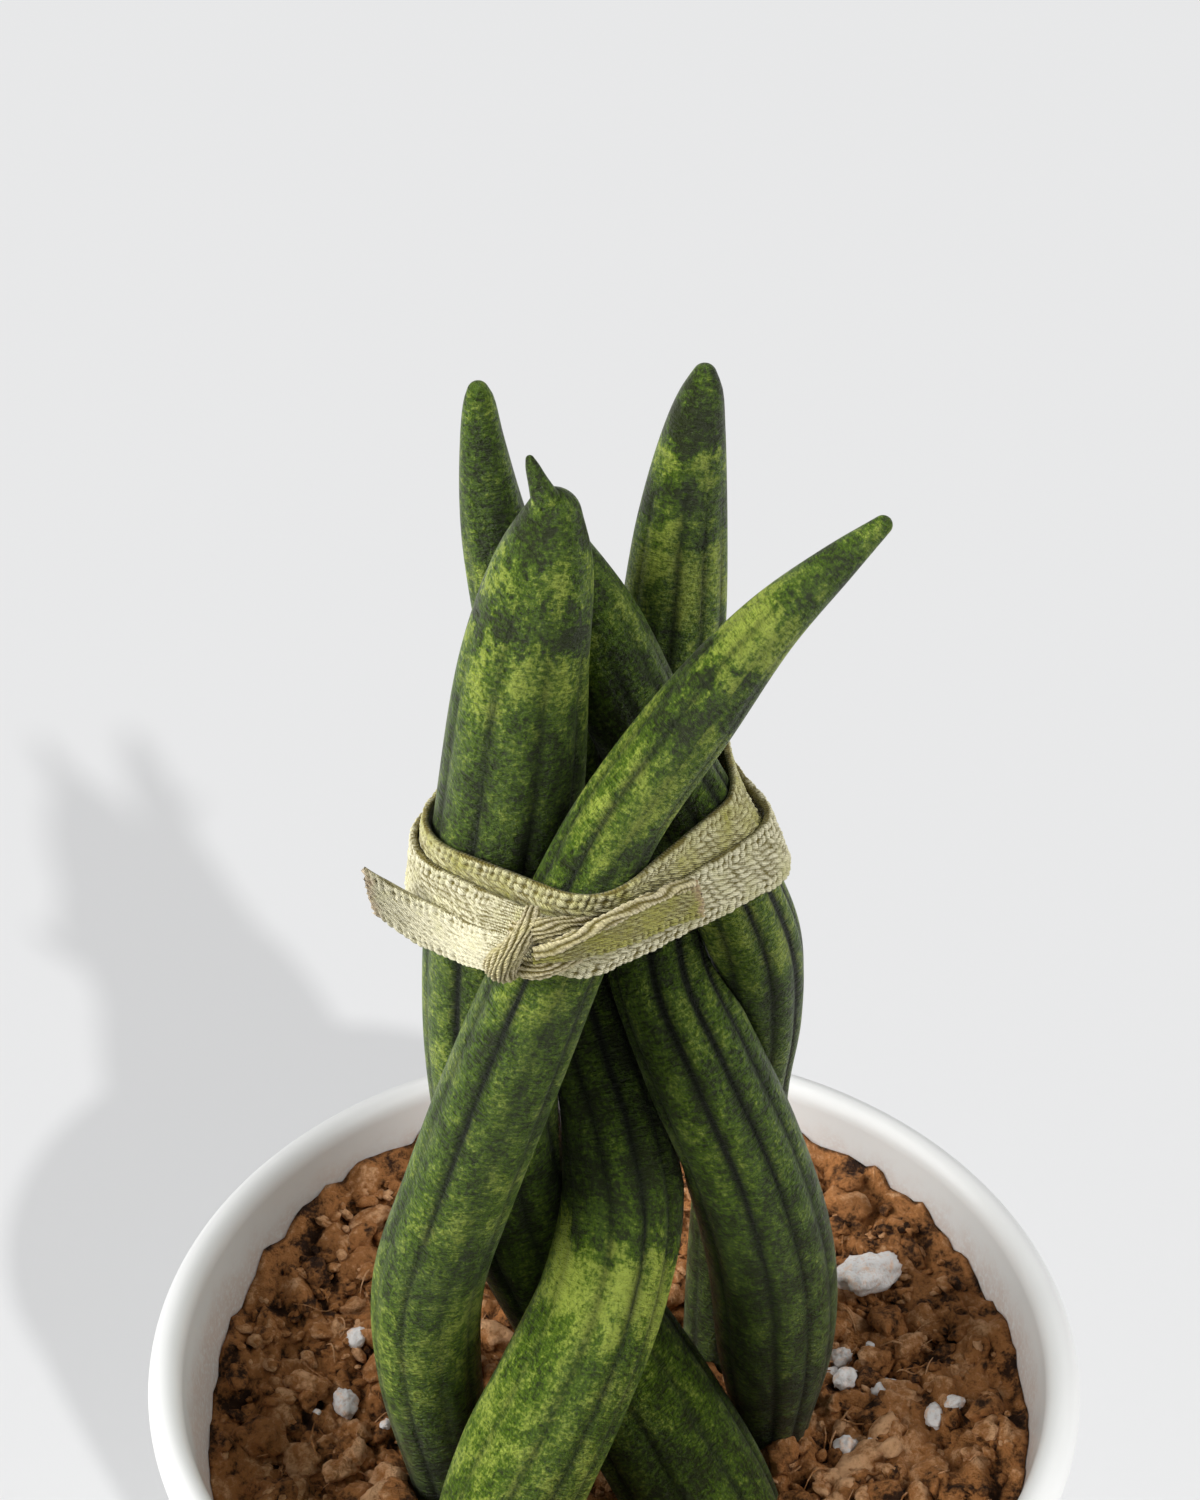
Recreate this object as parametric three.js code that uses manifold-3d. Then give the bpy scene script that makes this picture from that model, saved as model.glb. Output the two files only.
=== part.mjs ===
// Potted braided snake plant.
//
// Five round, grooved leaves stand in a white glazed pot of soil and are woven over one another.
// A narrow woven ribbon, wound twice round them and knotted in front, holds the braid together.
// Millimetres, +Z up. The pot stands on z = 0 with its axis on Z. The photographed side is -Y.

import * as THREE from 'three';
import { mergeVertices } from 'three/addons/utils/BufferGeometryUtils.js';
import Module from 'manifold-3d';

const wasm = await Module();
wasm.setup();

// Driving dimensions

const CLEARANCE = 0.35; // between pieces that touch on the real plant

const POT = {
  rimRadius: 60,
  height: 100,
  lipWidth: 4.4,
  lipHeight: 6,
  lipFlare: THREE.MathUtils.degToRad(-50), // where the outer wall runs into the rounded lip
  neck: [58.5, 92], // radius and height just below the lip
  belly: [55.5, 62], // the outer wall's curve bends towards this radius and height
  footRadius: 33,
  footRingWidth: 7,
  footRecess: 2,
  footChamfer: 1.5,
  innerBelly: [51.5, 62],
  innerHeel: [36, 12],
  floorRadius: 29,
  floor: 7,
  segments: 40,
  curveSteps: 4,
};

const SOIL = {
  centreHeight: 81.5,
  wallHeight: 88,
  dipDepth: 7, // the soil has settled at the front left
  dipAngle: THREE.MathUtils.degToRad(205),
  dipWidth: THREE.MathUtils.degToRad(34),
  backRise: 5, // it lies this much higher at the back of the wall
  relief: 1.1,
  topRings: 9,
  segments: 40,
};

// Crumbs of bark and coir, strewn over the soil by chance
const CRUMBS = { seed: 11, count: 30, smallest: 1.4, largest: 3.2, reach: 47 };

// Perlite grains that stand out of the soil: x, y, half length, half width, turn in degrees
const PERLITE = [
  [36, 25.5, 4.6, 2.3, 38],
  [31.2, 10, 1.7, 1.4, 0],
  [31.4, 5.4, 1.9, 1.6, 60],
  [36.4, 3.6, 1.9, 1.5, 20],
  [42.5, -2, 2.1, 1.3, 80],
  [30.6, -5.6, 1.7, 1.5, 10],
  [-35, 12, 1.8, 1.4, 45],
  [-36, 2.5, 2.1, 1.6, 110],
  [2, -42, 2.2, 1.7, 15],
  [-8, 38, 2.0, 1.5, 70],
];

const LEAF = {
  sides: 24,
  grooves: 8,
  grooveDepth: 0.075, // share of the leaf's radius
  smoothTip: 30, // the grooves fade out over this length below the tip
  ringSpacing: 6,
  lastRing: 2, // one more ring this far below the end of the centreline
  holeRings: 6, // a leaf's hole in the soil ends this many ring spacings above its root
  pressGap: 0.1, // share of the radius left free where two leaves press on each other
};

// Each leaf's centreline and radius from root to tip: x, y, z, radius
const LEAVES = {
  leaf_slanting: [
    [-18.5, -9, 64, 5.2], [-20.5, -9.5, 82, 5.6], [-23, -11.5, 104, 6.6], [-22.5, -13, 120, 6.9],
    [-18, -15, 137, 6.6], [-11.5, -16.7, 158, 6.3], [-6, -16.5, 173, 5.7], [0, -15, 187, 5.0],
    [8.5, -13, 199.7, 4.6], [15.5, -11.5, 208.7, 3.4], [22.3, -10, 215, 2.1], [27, -9, 219, 1.0],
  ],
  leaf_stout: [
    [15, -18, 64, 8.4], [12.5, -14.8, 80, 9.4], [5, -8.3, 92.5, 9.4], [-4.5, -3.4, 107.5, 8.9],
    [-11.5, -2, 123, 8.2], [-14.7, -2.6, 145, 7.7], [-14, -4.6, 168, 7.9], [-11.5, -6.3, 186, 8.2],
    [-9.6, -7.4, 203, 6.9], [-7.3, -7.5, 215, 4.9], [-6.3, -7.5, 220.4, 2.7],
  ],
  leaf_left_rear: [
    [-17, -27.5, 64, 7.4], [-15.5, -26.5, 83, 8.3], [-11.5, -24, 98.5, 8.6], [-6.5, -20.3, 109, 8.2],
    [-1.5, -14.8, 119.5, 7.6], [1, -8, 129, 7.4], [0, -2, 137.5, 7.1], [-3, 3.8, 146.5, 6.7],
    [-7.1, 8.6, 160, 6.2], [-8, 10.9, 174, 5.9], [-10, 11.4, 192, 5.3], [-13.3, 10.8, 209, 3.7],
    [-14.5, 10, 220, 2.2], [-14.7, 9.6, 225, 1.4], [-14.8, 9.5, 226.2, 0.9],
  ],
  leaf_right_rear: [
    [21.5, 2, 64, 4.8], [21, -0.5, 82, 5.0], [20.7, -2.3, 100, 7.5], [19.5, -3.8, 116, 8.0],
    [15.6, -5, 133, 7.7], [9.8, -3.8, 148, 7.3], [5.2, 0.6, 158.5, 6.6], [4, 6.2, 168.5, 6.5],
    [4.6, 9.8, 180, 6.5], [6.3, 11.9, 195, 6.1], [7.3, 12.6, 209, 5.0], [8.6, 12.5, 220.5, 3.3],
    [9.3, 12.3, 225, 2.2], [9.5, 12.2, 227.1, 1.2],
  ],
  leaf_middle: [
    [15, 17.5, 64, 5.2], [15.5, 15.9, 80, 5.8], [16, 12.4, 110, 5.8], [16.6, 8, 134, 5.5],
    [17.3, 4.8, 147.5, 5.7], [16.3, 1.9, 159.5, 5.9], [13.3, -0.7, 169.5, 5.6], [9.5, -2, 178, 5.5],
    [5.5, -2, 185.5, 5.5], [1.6, -0.6, 193.2, 5.5], [-2.6, 1.8, 202, 5.2], [-6.1, 4, 209.3, 3.5],
    [-7.7, 5.2, 213.6, 1.7],
  ],
};

// The stout leaf's blunt end grows a small point, which leans to the left: x, y, z, radius
const POINT = {
  leaf: 'leaf_stout',
  rings: 4,
  stations: [
    [-6.8, -7.9, 219.4, 1.5], [-7.6, -8.4, 222.4, 1.2], [-8.4, -8.2, 224.4, 0.8], [-8.8, -8, 225.7, 0.45],
  ],
};

const RIBBON = {
  width: 7,
  thickness: 0.9,
  frontHeight: 178.6, // middle of the inner turn
  backDrop: 6.3, // the turns lie this much lower behind
  outerDrop: 2.5, // the outer turn lies this much lower than the inner one
  points: 60,
};

const KNOT = { centre: [-10.8, -24.2, 175], halfSize: [4.6, 3.1, 4.2], folds: 0.09 };

// The ribbon's two free ends, from the knot to the cut: x, y, z, seen width, lean of the width in degrees
const TAILS = {
  left: [
    [-12, -23.2, 173.4, 4.5, 0], [-16.5, -20.3, 173, 5.6, -8], [-20.6, -17.8, 174.3, 6.3, -14],
    [-24, -17, 176.6, 6.8, -16], [-26.3, -17, 178.8, 7, -16],
  ],
  right: [
    [-9, -26, 174.6, 3.4, 10], [-4.6, -26, 175.4, 4.2, 8], [0.2, -24, 176.3, 5, 5],
    [5, -19.6, 177.3, 6, 2], [9.4, -15, 177.8, 6.8, 0],
  ],
};

// Closed skins

const vector = ([x, y, z]) => new THREE.Vector3(x, y, z);

function indexed(points, index) {
  const geometry = new THREE.BufferGeometry().setFromPoints(points);
  geometry.setIndex(index);
  return geometry;
}

// Skins rings of equal size from a first end point to a last one. The rings turn anticlockwise, seen
// from the last end.
function skin(first, rings, last) {
  const count = rings[0].length;
  const points = [first, ...rings.flat(), last];
  const at = (ring, k) => 1 + ring * count + (k % count);
  const index = [];
  for (let k = 0; k < count; k++) {
    index.push(0, at(0, k + 1), at(0, k));
    for (let ring = 0; ring < rings.length - 1; ring++) {
      index.push(at(ring, k), at(ring, k + 1), at(ring + 1, k + 1));
      index.push(at(ring, k), at(ring + 1, k + 1), at(ring + 1, k));
    }
    index.push(points.length - 1, at(rings.length - 1, k), at(rings.length - 1, k + 1));
  }
  return indexed(points, index);
}

// Skins sections that follow one another round a closed loop
function loopSkin(sections) {
  const count = sections[0].length;
  const at = (section, k) => (section % sections.length) * count + (k % count);
  const index = [];
  for (let section = 0; section < sections.length; section++) {
    for (let k = 0; k < count; k++) {
      index.push(at(section, k), at(section, k + 1), at(section + 1, k + 1));
      index.push(at(section, k), at(section + 1, k + 1), at(section + 1, k));
    }
  }
  return indexed(sections.flat(), index);
}

function toSolid(geometry) {
  const vertProperties = geometry.getAttribute('position').array;
  const triVerts = Uint32Array.from(geometry.getIndex().array);
  return new wasm.Manifold(new wasm.Mesh({ numProp: 3, vertProperties, triVerts }));
}

function toGeometry(solid) {
  const { vertProperties, triVerts } = solid.getMesh();
  const geometry = new THREE.BufferGeometry();
  geometry.setAttribute('position', new THREE.BufferAttribute(vertProperties, 3));
  geometry.setIndex(new THREE.BufferAttribute(triVerts, 1));
  return geometry;
}

// A small faceted lump with shared corners
function lump(detail) {
  const geometry = new THREE.IcosahedronGeometry(1, detail);
  geometry.deleteAttribute('normal');
  geometry.deleteAttribute('uv');
  return mergeVertices(geometry);
}

function seededRandom(seed) {
  let state = seed;
  return () => {
    state = (state * 1664525 + 1013904223) % 4294967296;
    return state / 4294967296;
  };
}

// Pot

const innerWall = new THREE.QuadraticBezierCurve(
  new THREE.Vector2(POT.rimRadius - POT.lipWidth, POT.height - POT.lipHeight / 2),
  new THREE.Vector2(...POT.innerBelly),
  new THREE.Vector2(...POT.innerHeel),
);

function wallRadius(height) {
  let above = 0;
  let below = 1;
  for (let step = 0; step < 24; step++) {
    const middle = (above + below) / 2;
    if (innerWall.getPoint(middle).y > height) above = middle;
    else below = middle;
  }
  return innerWall.getPoint(above).x;
}

function potGeometry() {
  const outline = new THREE.Path();
  const footInner = POT.footRadius - POT.footRingWidth;
  outline.moveTo(0, POT.footRecess);
  outline.lineTo(footInner - POT.footRecess, POT.footRecess);
  outline.lineTo(footInner, 0);
  outline.lineTo(POT.footRadius, 0);
  outline.lineTo(POT.footRadius + POT.footChamfer, POT.footChamfer);
  outline.quadraticCurveTo(...POT.belly, ...POT.neck);
  outline.absellipse(
    POT.rimRadius - POT.lipWidth / 2, POT.height - POT.lipHeight / 2,
    POT.lipWidth / 2, POT.lipHeight / 2, POT.lipFlare, Math.PI,
  );
  outline.quadraticCurveTo(...POT.innerBelly, ...POT.innerHeel);
  outline.quadraticCurveTo(POT.innerHeel[0] - 2, POT.floor, POT.floorRadius, POT.floor);
  outline.lineTo(0, POT.floor);
  const pot = new THREE.LatheGeometry(outline.getPoints(POT.curveSteps), POT.segments);
  return pot.rotateX(Math.PI / 2);
}

// Leaves

function centreline(stations) {
  const line = new THREE.CatmullRomCurve3(stations.map(vector), false, 'centripetal');
  line.arcLengthDivisions = 400;
  const radii = new THREE.SplineCurve(stations.map(([, , , radius], k) => new THREE.Vector2(k, radius)));
  const length = line.getLength();
  const at = (distance) => {
    const t = line.getUtoTmapping(Math.min(1, distance / length));
    return { centre: line.getPoint(t), along: line.getTangent(t), radius: radii.getPoint(t).y };
  };
  const samples = Array.from({ length: Math.round(length) + 1 }, (_, k) => at(Math.min(k, length)));
  return { at, length, samples };
}

const centrelines = Object.fromEntries(
  Object.entries(LEAVES).map(([name, stations]) => [name, centreline(stations)]),
);

// How far a point lies from a leaf's centreline, as a share of that leaf's radius there
function shareOfRadius(point, line) {
  let least = Infinity;
  for (const { centre, radius } of line.samples) {
    least = Math.min(least, point.distanceTo(centre) / radius);
  }
  return least;
}

// Two leaves that press on each other go flat there. A point moves in until it lies nearer to its own
// centreline than to the neighbour's, both as shares of the radius, with a small gap between them.
function pressedIn(point, centre, radius, neighbours) {
  const moved = point.clone();
  for (const line of neighbours) {
    const clear = (share) => {
      const trial = new THREE.Vector3().lerpVectors(centre, moved, share);
      return shareOfRadius(trial, line) - trial.distanceTo(centre) / radius > LEAF.pressGap;
    };
    if (clear(1)) continue;
    let inside = 0;
    let outside = 1;
    for (let step = 0; step < 12; step++) {
      const middle = (inside + outside) / 2;
      if (clear(middle)) inside = middle;
      else outside = middle;
    }
    moved.lerpVectors(centre, moved, inside);
  }
  return moved;
}

function sectionFrame(along) {
  const front = new THREE.Vector3(0, -1, 0).projectOnPlane(along).normalize();
  return { front, side: new THREE.Vector3().crossVectors(along, front) };
}

function groove(angle) {
  return ((1 + Math.cos(LEAF.grooves * angle)) / 2) ** 3;
}

function leafRing({ centre, along, radius }, depth, shrink, lift) {
  const { front, side } = sectionFrame(along);
  const middle = centre.clone().addScaledVector(along, lift);
  return Array.from({ length: LEAF.sides }, (_, k) => {
    const angle = (2 * Math.PI * k) / LEAF.sides;
    const reach = radius * shrink * (1 - depth * groove(angle));
    return middle.clone()
      .addScaledVector(front, reach * Math.cos(angle))
      .addScaledVector(side, reach * Math.sin(angle));
  });
}

function evenSteps(length, count) {
  return Array.from({ length: count + 1 }, (_, k) => (length * k) / count);
}

// Skins a leaf's rings, from its root on, and rounds off its tip
function closedLeaf({ at, length }, rings) {
  const tip = at(length);
  const rounding = [Math.PI / 6, Math.PI / 3].map(
    (turn) => leafRing(tip, 0, Math.cos(turn), tip.radius * Math.sin(turn)),
  );
  const point = tip.centre.clone().addScaledVector(tip.along, tip.radius);
  return skin(at(0).centre, [...rings, ...rounding], point);
}

function leafGeometry(name) {
  const line = centrelines[name];
  const neighbours = Object.keys(centrelines).filter((other) => other !== name).map((k) => centrelines[k]);
  const distances = evenSteps(line.length, Math.round(line.length / LEAF.ringSpacing));
  distances.splice(-1, 0, line.length - LEAF.lastRing);
  const rings = distances.map((distance) => {
    const fade = THREE.MathUtils.smoothstep(line.length - distance, 0, LEAF.smoothTip);
    const section = line.at(distance);
    return leafRing(section, LEAF.grooveDepth * fade, 1, 0)
      .map((point) => pressedIn(point, section.centre, section.radius, neighbours));
  });
  const leaf = closedLeaf(line, rings);
  return name === POINT.leaf ? toGeometry(toSolid(leaf).add(pointSolid())) : leaf;
}

function pointSolid() {
  const line = centreline(POINT.stations);
  const rings = evenSteps(line.length, POINT.rings).map((distance) => leafRing(line.at(distance), 0, 1, 0));
  return toSolid(closedLeaf(line, rings));
}

// The hole that a leaf stands in, from below its root to above the soil
function leafHole(name) {
  const { at } = centrelines[name];
  const rings = Array.from({ length: LEAF.holeRings + 1 }, (_, k) => {
    const section = at(k * LEAF.ringSpacing);
    section.radius += 1.5 * CLEARANCE;
    return leafRing(section, 0, 1, k === 0 ? -CLEARANCE : 0);
  });
  const lowest = at(0).centre.addScaledVector(at(0).along, -CLEARANCE);
  return toSolid(skin(lowest, rings, at(LEAF.holeRings * LEAF.ringSpacing).centre));
}

// Soil

function soilHeight(x, y) {
  const share = Math.hypot(x, y) / wallRadius(SOIL.wallHeight);
  let turn = Math.atan2(y, x) - SOIL.dipAngle;
  turn = Math.atan2(Math.sin(turn), Math.cos(turn));
  const dip = SOIL.dipDepth * Math.exp(-((turn / SOIL.dipWidth) ** 2)) * share ** 2;
  const bumps = Math.sin(0.43 * x + 1.3) * Math.cos(0.39 * y - 0.6)
    + 0.7 * Math.sin(0.91 * x - 0.55 * y) * Math.cos(0.74 * y + 0.35 * x + 2);
  const back = Math.max(0, y) / wallRadius(SOIL.wallHeight);
  const rise = (SOIL.wallHeight - SOIL.centreHeight) * share ** 2 + SOIL.backRise * share * back;
  return SOIL.centreHeight + rise - dip + SOIL.relief * bumps;
}

function soilGround() {
  const circle = (place) => Array.from({ length: SOIL.segments }, (_, k) => {
    const angle = (2 * Math.PI * k) / SOIL.segments;
    const [radius, height] = place(Math.cos(angle), Math.sin(angle));
    return new THREE.Vector3(radius * Math.cos(angle), radius * Math.sin(angle), height);
  });
  const level = (height) => circle(() => [wallRadius(height) - 2 * CLEARANCE, height]);
  // The surface ring number k of topRings, of which the outermost meets the pot's wall
  const surface = (k) => circle((dx, dy) => {
    const edge = wallRadius(SOIL.wallHeight);
    const meets = wallRadius(soilHeight(edge * dx, edge * dy)) - 2 * CLEARANCE;
    const radius = (meets * k) / SOIL.topRings;
    return [radius, soilHeight(radius * dx, radius * dy)];
  });
  const bottom = POT.floor + CLEARANCE;
  const rings = [circle(() => [POT.floorRadius - 1, bottom])];
  for (const height of [POT.innerHeel[1] + 1, 45, SOIL.wallHeight - 2 * SOIL.dipDepth]) {
    rings.push(level(height));
  }
  for (let k = SOIL.topRings; k > 0; k--) rings.push(surface(k));
  const middle = new THREE.Vector3(0, 0, soilHeight(0, 0));
  return toSolid(skin(new THREE.Vector3(0, 0, bottom), rings, middle));
}

// A grain lies half sunk in the soil
function grain(x, y, halfLength, halfWidth, turn, random) {
  const shape = lump(0);
  const corners = shape.getAttribute('position');
  for (let k = 0; k < corners.count; k++) {
    const swell = 0.8 + 0.4 * random();
    corners.setXYZ(k, corners.getX(k) * swell, corners.getY(k) * swell, corners.getZ(k) * swell);
  }
  shape.scale(halfLength, halfWidth, halfWidth);
  shape.rotateZ(THREE.MathUtils.degToRad(turn));
  shape.translate(x, y, soilHeight(x, y) + 0.25 * halfWidth);
  return toSolid(shape);
}

function clearOfLeaves(x, y, size) {
  const point = new THREE.Vector3(x, y, soilHeight(x, y));
  return Object.values(centrelines).every(({ samples }) => samples.every(
    ({ centre, radius }) => point.distanceTo(centre) > radius + size + 1,
  ));
}

function soilGeometry() {
  const random = seededRandom(CRUMBS.seed);
  const grains = PERLITE.map(([x, y, length, width, turn]) => grain(x, y, length, width, turn, random));
  while (grains.length < PERLITE.length + CRUMBS.count) {
    const radius = CRUMBS.reach * Math.sqrt(random());
    const angle = 2 * Math.PI * random();
    const size = THREE.MathUtils.lerp(CRUMBS.smallest, CRUMBS.largest, random() ** 2);
    const [x, y] = [radius * Math.cos(angle), radius * Math.sin(angle)];
    const turn = 180 * random();
    if (clearOfLeaves(x, y, size)) grains.push(grain(x, y, size, 0.75 * size, turn, random));
  }
  let soil = soilGround();
  for (const piece of grains) soil = soil.add(piece);
  for (const name of Object.keys(LEAVES)) soil = soil.subtract(leafHole(name));
  const [ground] = soil.decompose().sort((a, b) => b.volume() - a.volume()); // without loose scraps
  return toGeometry(ground);
}

// Ribbon

// How high the middle of the inner turn lies, on the side that faces this way
function turnHeight(angle) {
  return RIBBON.frontHeight - RIBBON.backDrop * Math.max(0, Math.sin(angle)) ** 2;
}

// The line that one row of a taut ribbon takes round all the leaves, anticlockwise from the front
function tautLoop(rise, offset) {
  const samples = Object.values(centrelines).flatMap((line) => line.samples);
  const outline = Array.from({ length: 360 }, (_, k) => {
    const angle = THREE.MathUtils.degToRad(k - 90);
    const height = turnHeight(angle) + rise;
    const outward = new THREE.Vector3(Math.cos(angle), Math.sin(angle), 0);
    let furthest = -Infinity;
    let touch = null;
    for (const { centre, radius } of samples) {
      const spread = Math.sqrt(Math.max(0, radius ** 2 - (centre.z - height) ** 2));
      const reach = centre.dot(outward) + spread;
      if (spread > 0 && reach > furthest) {
        furthest = reach;
        touch = centre.clone().setZ(height).addScaledVector(outward, spread + offset);
      }
    }
    return touch;
  });
  const line = new THREE.CurvePath();
  outline.forEach((point, k) => line.add(new THREE.LineCurve3(point, outline[(k + 1) % outline.length])));
  return line.getSpacedPoints(RIBBON.points).slice(0, RIBBON.points);
}

// Both turns as one body, whose section steps out where the outer turn lies on the inner one
function ribbonTurns() {
  const half = RIBBON.width / 2;
  const drop = RIBBON.outerDrop;
  const leafSide = CLEARANCE;
  const between = leafSide + RIBBON.thickness;
  const outside = between + RIBBON.thickness;
  const rows = [
    tautLoop(-half, leafSide), tautLoop(0, leafSide), tautLoop(half, leafSide),
    tautLoop(half, between), tautLoop(half - drop, between),
    tautLoop(half - drop, outside), tautLoop(-drop, outside), tautLoop(-half - drop, outside),
    tautLoop(-half - drop, between), tautLoop(-half, between),
  ];
  const sections = Array.from({ length: RIBBON.points }, (_, k) => rows.map((row) => row[k]));
  return toSolid(loopSkin(sections));
}

function ribbonTail(stations) {
  const line = new THREE.CatmullRomCurve3(stations.map(vector), false, 'centripetal');
  const shape = new THREE.SplineCurve(stations.map(([, , , width, lean]) => new THREE.Vector2(width, lean)));
  const steps = 3 * (stations.length - 1);
  const rings = Array.from({ length: steps + 1 }, (_, k) => {
    const t = k / steps;
    const centre = line.getPoint(t);
    const along = line.getTangent(t);
    const { x: width, y: lean } = shape.getPoint(t);
    const across = new THREE.Vector3(0, 0, 1).projectOnPlane(along).normalize()
      .applyAxisAngle(along, THREE.MathUtils.degToRad(lean));
    const out = new THREE.Vector3().crossVectors(across, along);
    const corner = (u, v) => centre.clone()
      .addScaledVector(across, (u * width) / 2)
      .addScaledVector(out, (v * RIBBON.thickness) / 2);
    return [corner(-1, -1), corner(-1, 1), corner(1, 1), corner(1, -1)];
  });
  return toSolid(skin(line.getPoint(0), rings, line.getPoint(1)));
}

function ribbonKnot() {
  const shape = lump(2);
  const corners = shape.getAttribute('position');
  for (let k = 0; k < corners.count; k++) {
    const corner = new THREE.Vector3().fromBufferAttribute(corners, k);
    corner.multiplyScalar(1 + KNOT.folds * Math.sin(5 * corner.z + 3 * corner.x));
    corners.setXYZ(k, corner.x, corner.y, corner.z);
  }
  shape.scale(...KNOT.halfSize);
  shape.translate(...KNOT.centre);
  return toSolid(shape);
}

function ribbonGeometry() {
  return toGeometry(
    ribbonTurns().add(ribbonKnot()).add(ribbonTail(TAILS.left)).add(ribbonTail(TAILS.right)),
  );
}

// Assembly

const FINISH = {
  glaze: { color: 0xf1f1ee, roughness: 0.22, metalness: 0 },
  soil: { color: 0x5b3a28, roughness: 0.95, metalness: 0 },
  leaf: { color: 0x35552a, roughness: 0.5, metalness: 0 },
  ribbon: { color: 0xcfc79a, roughness: 0.8, metalness: 0 },
};

function piece(name, geometry, finish) {
  const mesh = new THREE.Mesh(geometry, new THREE.MeshStandardMaterial(finish));
  mesh.name = name;
  return mesh;
}

const plant = new THREE.Group();
plant.add(piece('pot', potGeometry(), FINISH.glaze));
plant.add(piece('soil', soilGeometry(), FINISH.soil));
for (const name of Object.keys(LEAVES)) plant.add(piece(name, leafGeometry(name), FINISH.leaf));
plant.add(piece('ribbon', ribbonGeometry(), FINISH.ribbon));

export default plant;
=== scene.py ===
"""The looks of a potted braided snake plant: leaves, pot, soil, ribbon and stage.

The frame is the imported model's: +Z up, the pot's axis on Z, the ribbon's knot on the -Y side.
Shapes are worked out in millimetres and become metres when their mesh is made.
"""

import math
import random

import bmesh
import bpy
import numpy as np
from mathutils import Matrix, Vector, noise


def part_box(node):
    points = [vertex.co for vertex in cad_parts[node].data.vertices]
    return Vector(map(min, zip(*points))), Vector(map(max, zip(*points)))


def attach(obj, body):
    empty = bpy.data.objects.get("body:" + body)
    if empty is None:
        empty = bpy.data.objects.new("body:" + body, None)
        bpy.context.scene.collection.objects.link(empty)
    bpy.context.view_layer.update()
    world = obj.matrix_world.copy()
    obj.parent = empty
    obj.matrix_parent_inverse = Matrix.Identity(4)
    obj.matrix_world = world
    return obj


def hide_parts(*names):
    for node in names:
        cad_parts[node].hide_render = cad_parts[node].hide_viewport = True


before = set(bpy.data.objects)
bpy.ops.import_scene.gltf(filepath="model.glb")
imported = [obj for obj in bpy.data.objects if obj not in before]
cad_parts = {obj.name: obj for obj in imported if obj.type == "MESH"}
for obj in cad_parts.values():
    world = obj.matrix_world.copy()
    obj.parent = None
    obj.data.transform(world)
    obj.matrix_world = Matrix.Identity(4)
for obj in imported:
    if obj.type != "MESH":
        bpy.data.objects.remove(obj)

bl_info = {
    "name": "Braided snake plant",
    "version": (1, 0, 0),
    "blender": (4, 5, 0),
    "location": "3D View > Sidebar > Plant",
    "description": "Makes the leaves, pot, soil and ribbon of a potted braided snake plant",
    "category": "Add Mesh",
}

MM = 0.001
FRONT = np.array([0, -1, 0])
UP = np.array([0, 0, 1])
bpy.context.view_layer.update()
RIM_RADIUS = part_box("pot")[1].x / MM
POT_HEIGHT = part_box("pot")[1].z / MM

# Pot: radius and height of the outline's corners and of the points that its curves bend towards

LIP_WIDTH = 4.4
LIP_HEIGHT = 6
LIP_FLARE = -50  # degrees, where the outer wall runs into the rounded lip
NECK = (58.5, 92)
BELLY = (55.5, 62)
FOOT_RADIUS = 33
FOOT_RING = 7
FOOT_RECESS = 2
FOOT_CHAMFER = 1.5
INNER_BELLY = (51.5, 62)
INNER_HEEL = (36, 12)
FLOOR_RADIUS = 29
FLOOR = 7
AXIS = 0.01  # the outline starts and ends this near the pot's axis
POT_SIDES = 192
SHARP_EDGE = 40  # degrees, the least bend that isn't smoothed over

# Soil

SOIL_CENTRE = 81.5
SOIL_AT_WALL = 88
DIP_DEPTH = 7  # the soil has settled at the front left
DIP_ANGLE = math.radians(205)
DIP_WIDTH = math.radians(34)
BACK_RISE = 5  # it lies this much higher at the back of the wall
SOIL_RELIEF = 1.1
SOIL_SIDES = 220
SOIL_RINGS = 78
BURIED_RINGS = (FLOOR + 0.4, INNER_HEEL[1] + 1, 45, 70)  # heights

# Crumbs strewn by chance: fineness of their mesh, number, least and greatest half size, and a power
# that makes small ones commoner as it grows. Each kind of grain lies within its reach of the axis.
CRUMBS = {
    "soil_crumbs_large": (3, 520, 0.9, 3.0, 1.8),
    "soil_crumbs_small": (2, 1700, 0.35, 1.25, 1.3),
}
CRUMB_REACH = 52.0
CRUMB_RAGGED = 0.42
FIBRES = 240
FIBRE_REACH = 44.0
FIBRE_SIDES = 5
FIBRE_RINGS = 9
LOOSE_PERLITE = 16
PERLITE_REACH = 50.0
PERLITE_RAGGED = 0.3
PERLITE_FINENESS = 4

# Perlite grains that stand out of the soil: x, y, half length, half width, turn in degrees
PERLITE = [
    (36.2, 21.5, 5.6, 3.0, 38),
    (38.5, 1.5, 1.2, 0.9, 70),
    (45, -1.2, 1.3, 1.0, 10),
    (34, -6.6, 1.4, 1.1, 95),
    (29.5, 7.6, 1.2, 1.0, 30),
    (31.2, 10, 1.7, 1.4, 0),
    (31.4, 5.4, 1.9, 1.6, 60),
    (36.4, 3.6, 1.9, 1.5, 20),
    (42.5, -2, 2.1, 1.3, 80),
    (30.6, -5.6, 1.7, 1.5, 10),
    (-35, 12, 1.8, 1.4, 45),
    (-36, 2.5, 2.1, 1.6, 110),
    (2, -42, 2.2, 1.7, 15),
    (-8, 38, 2.0, 1.5, 70),
]

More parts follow.
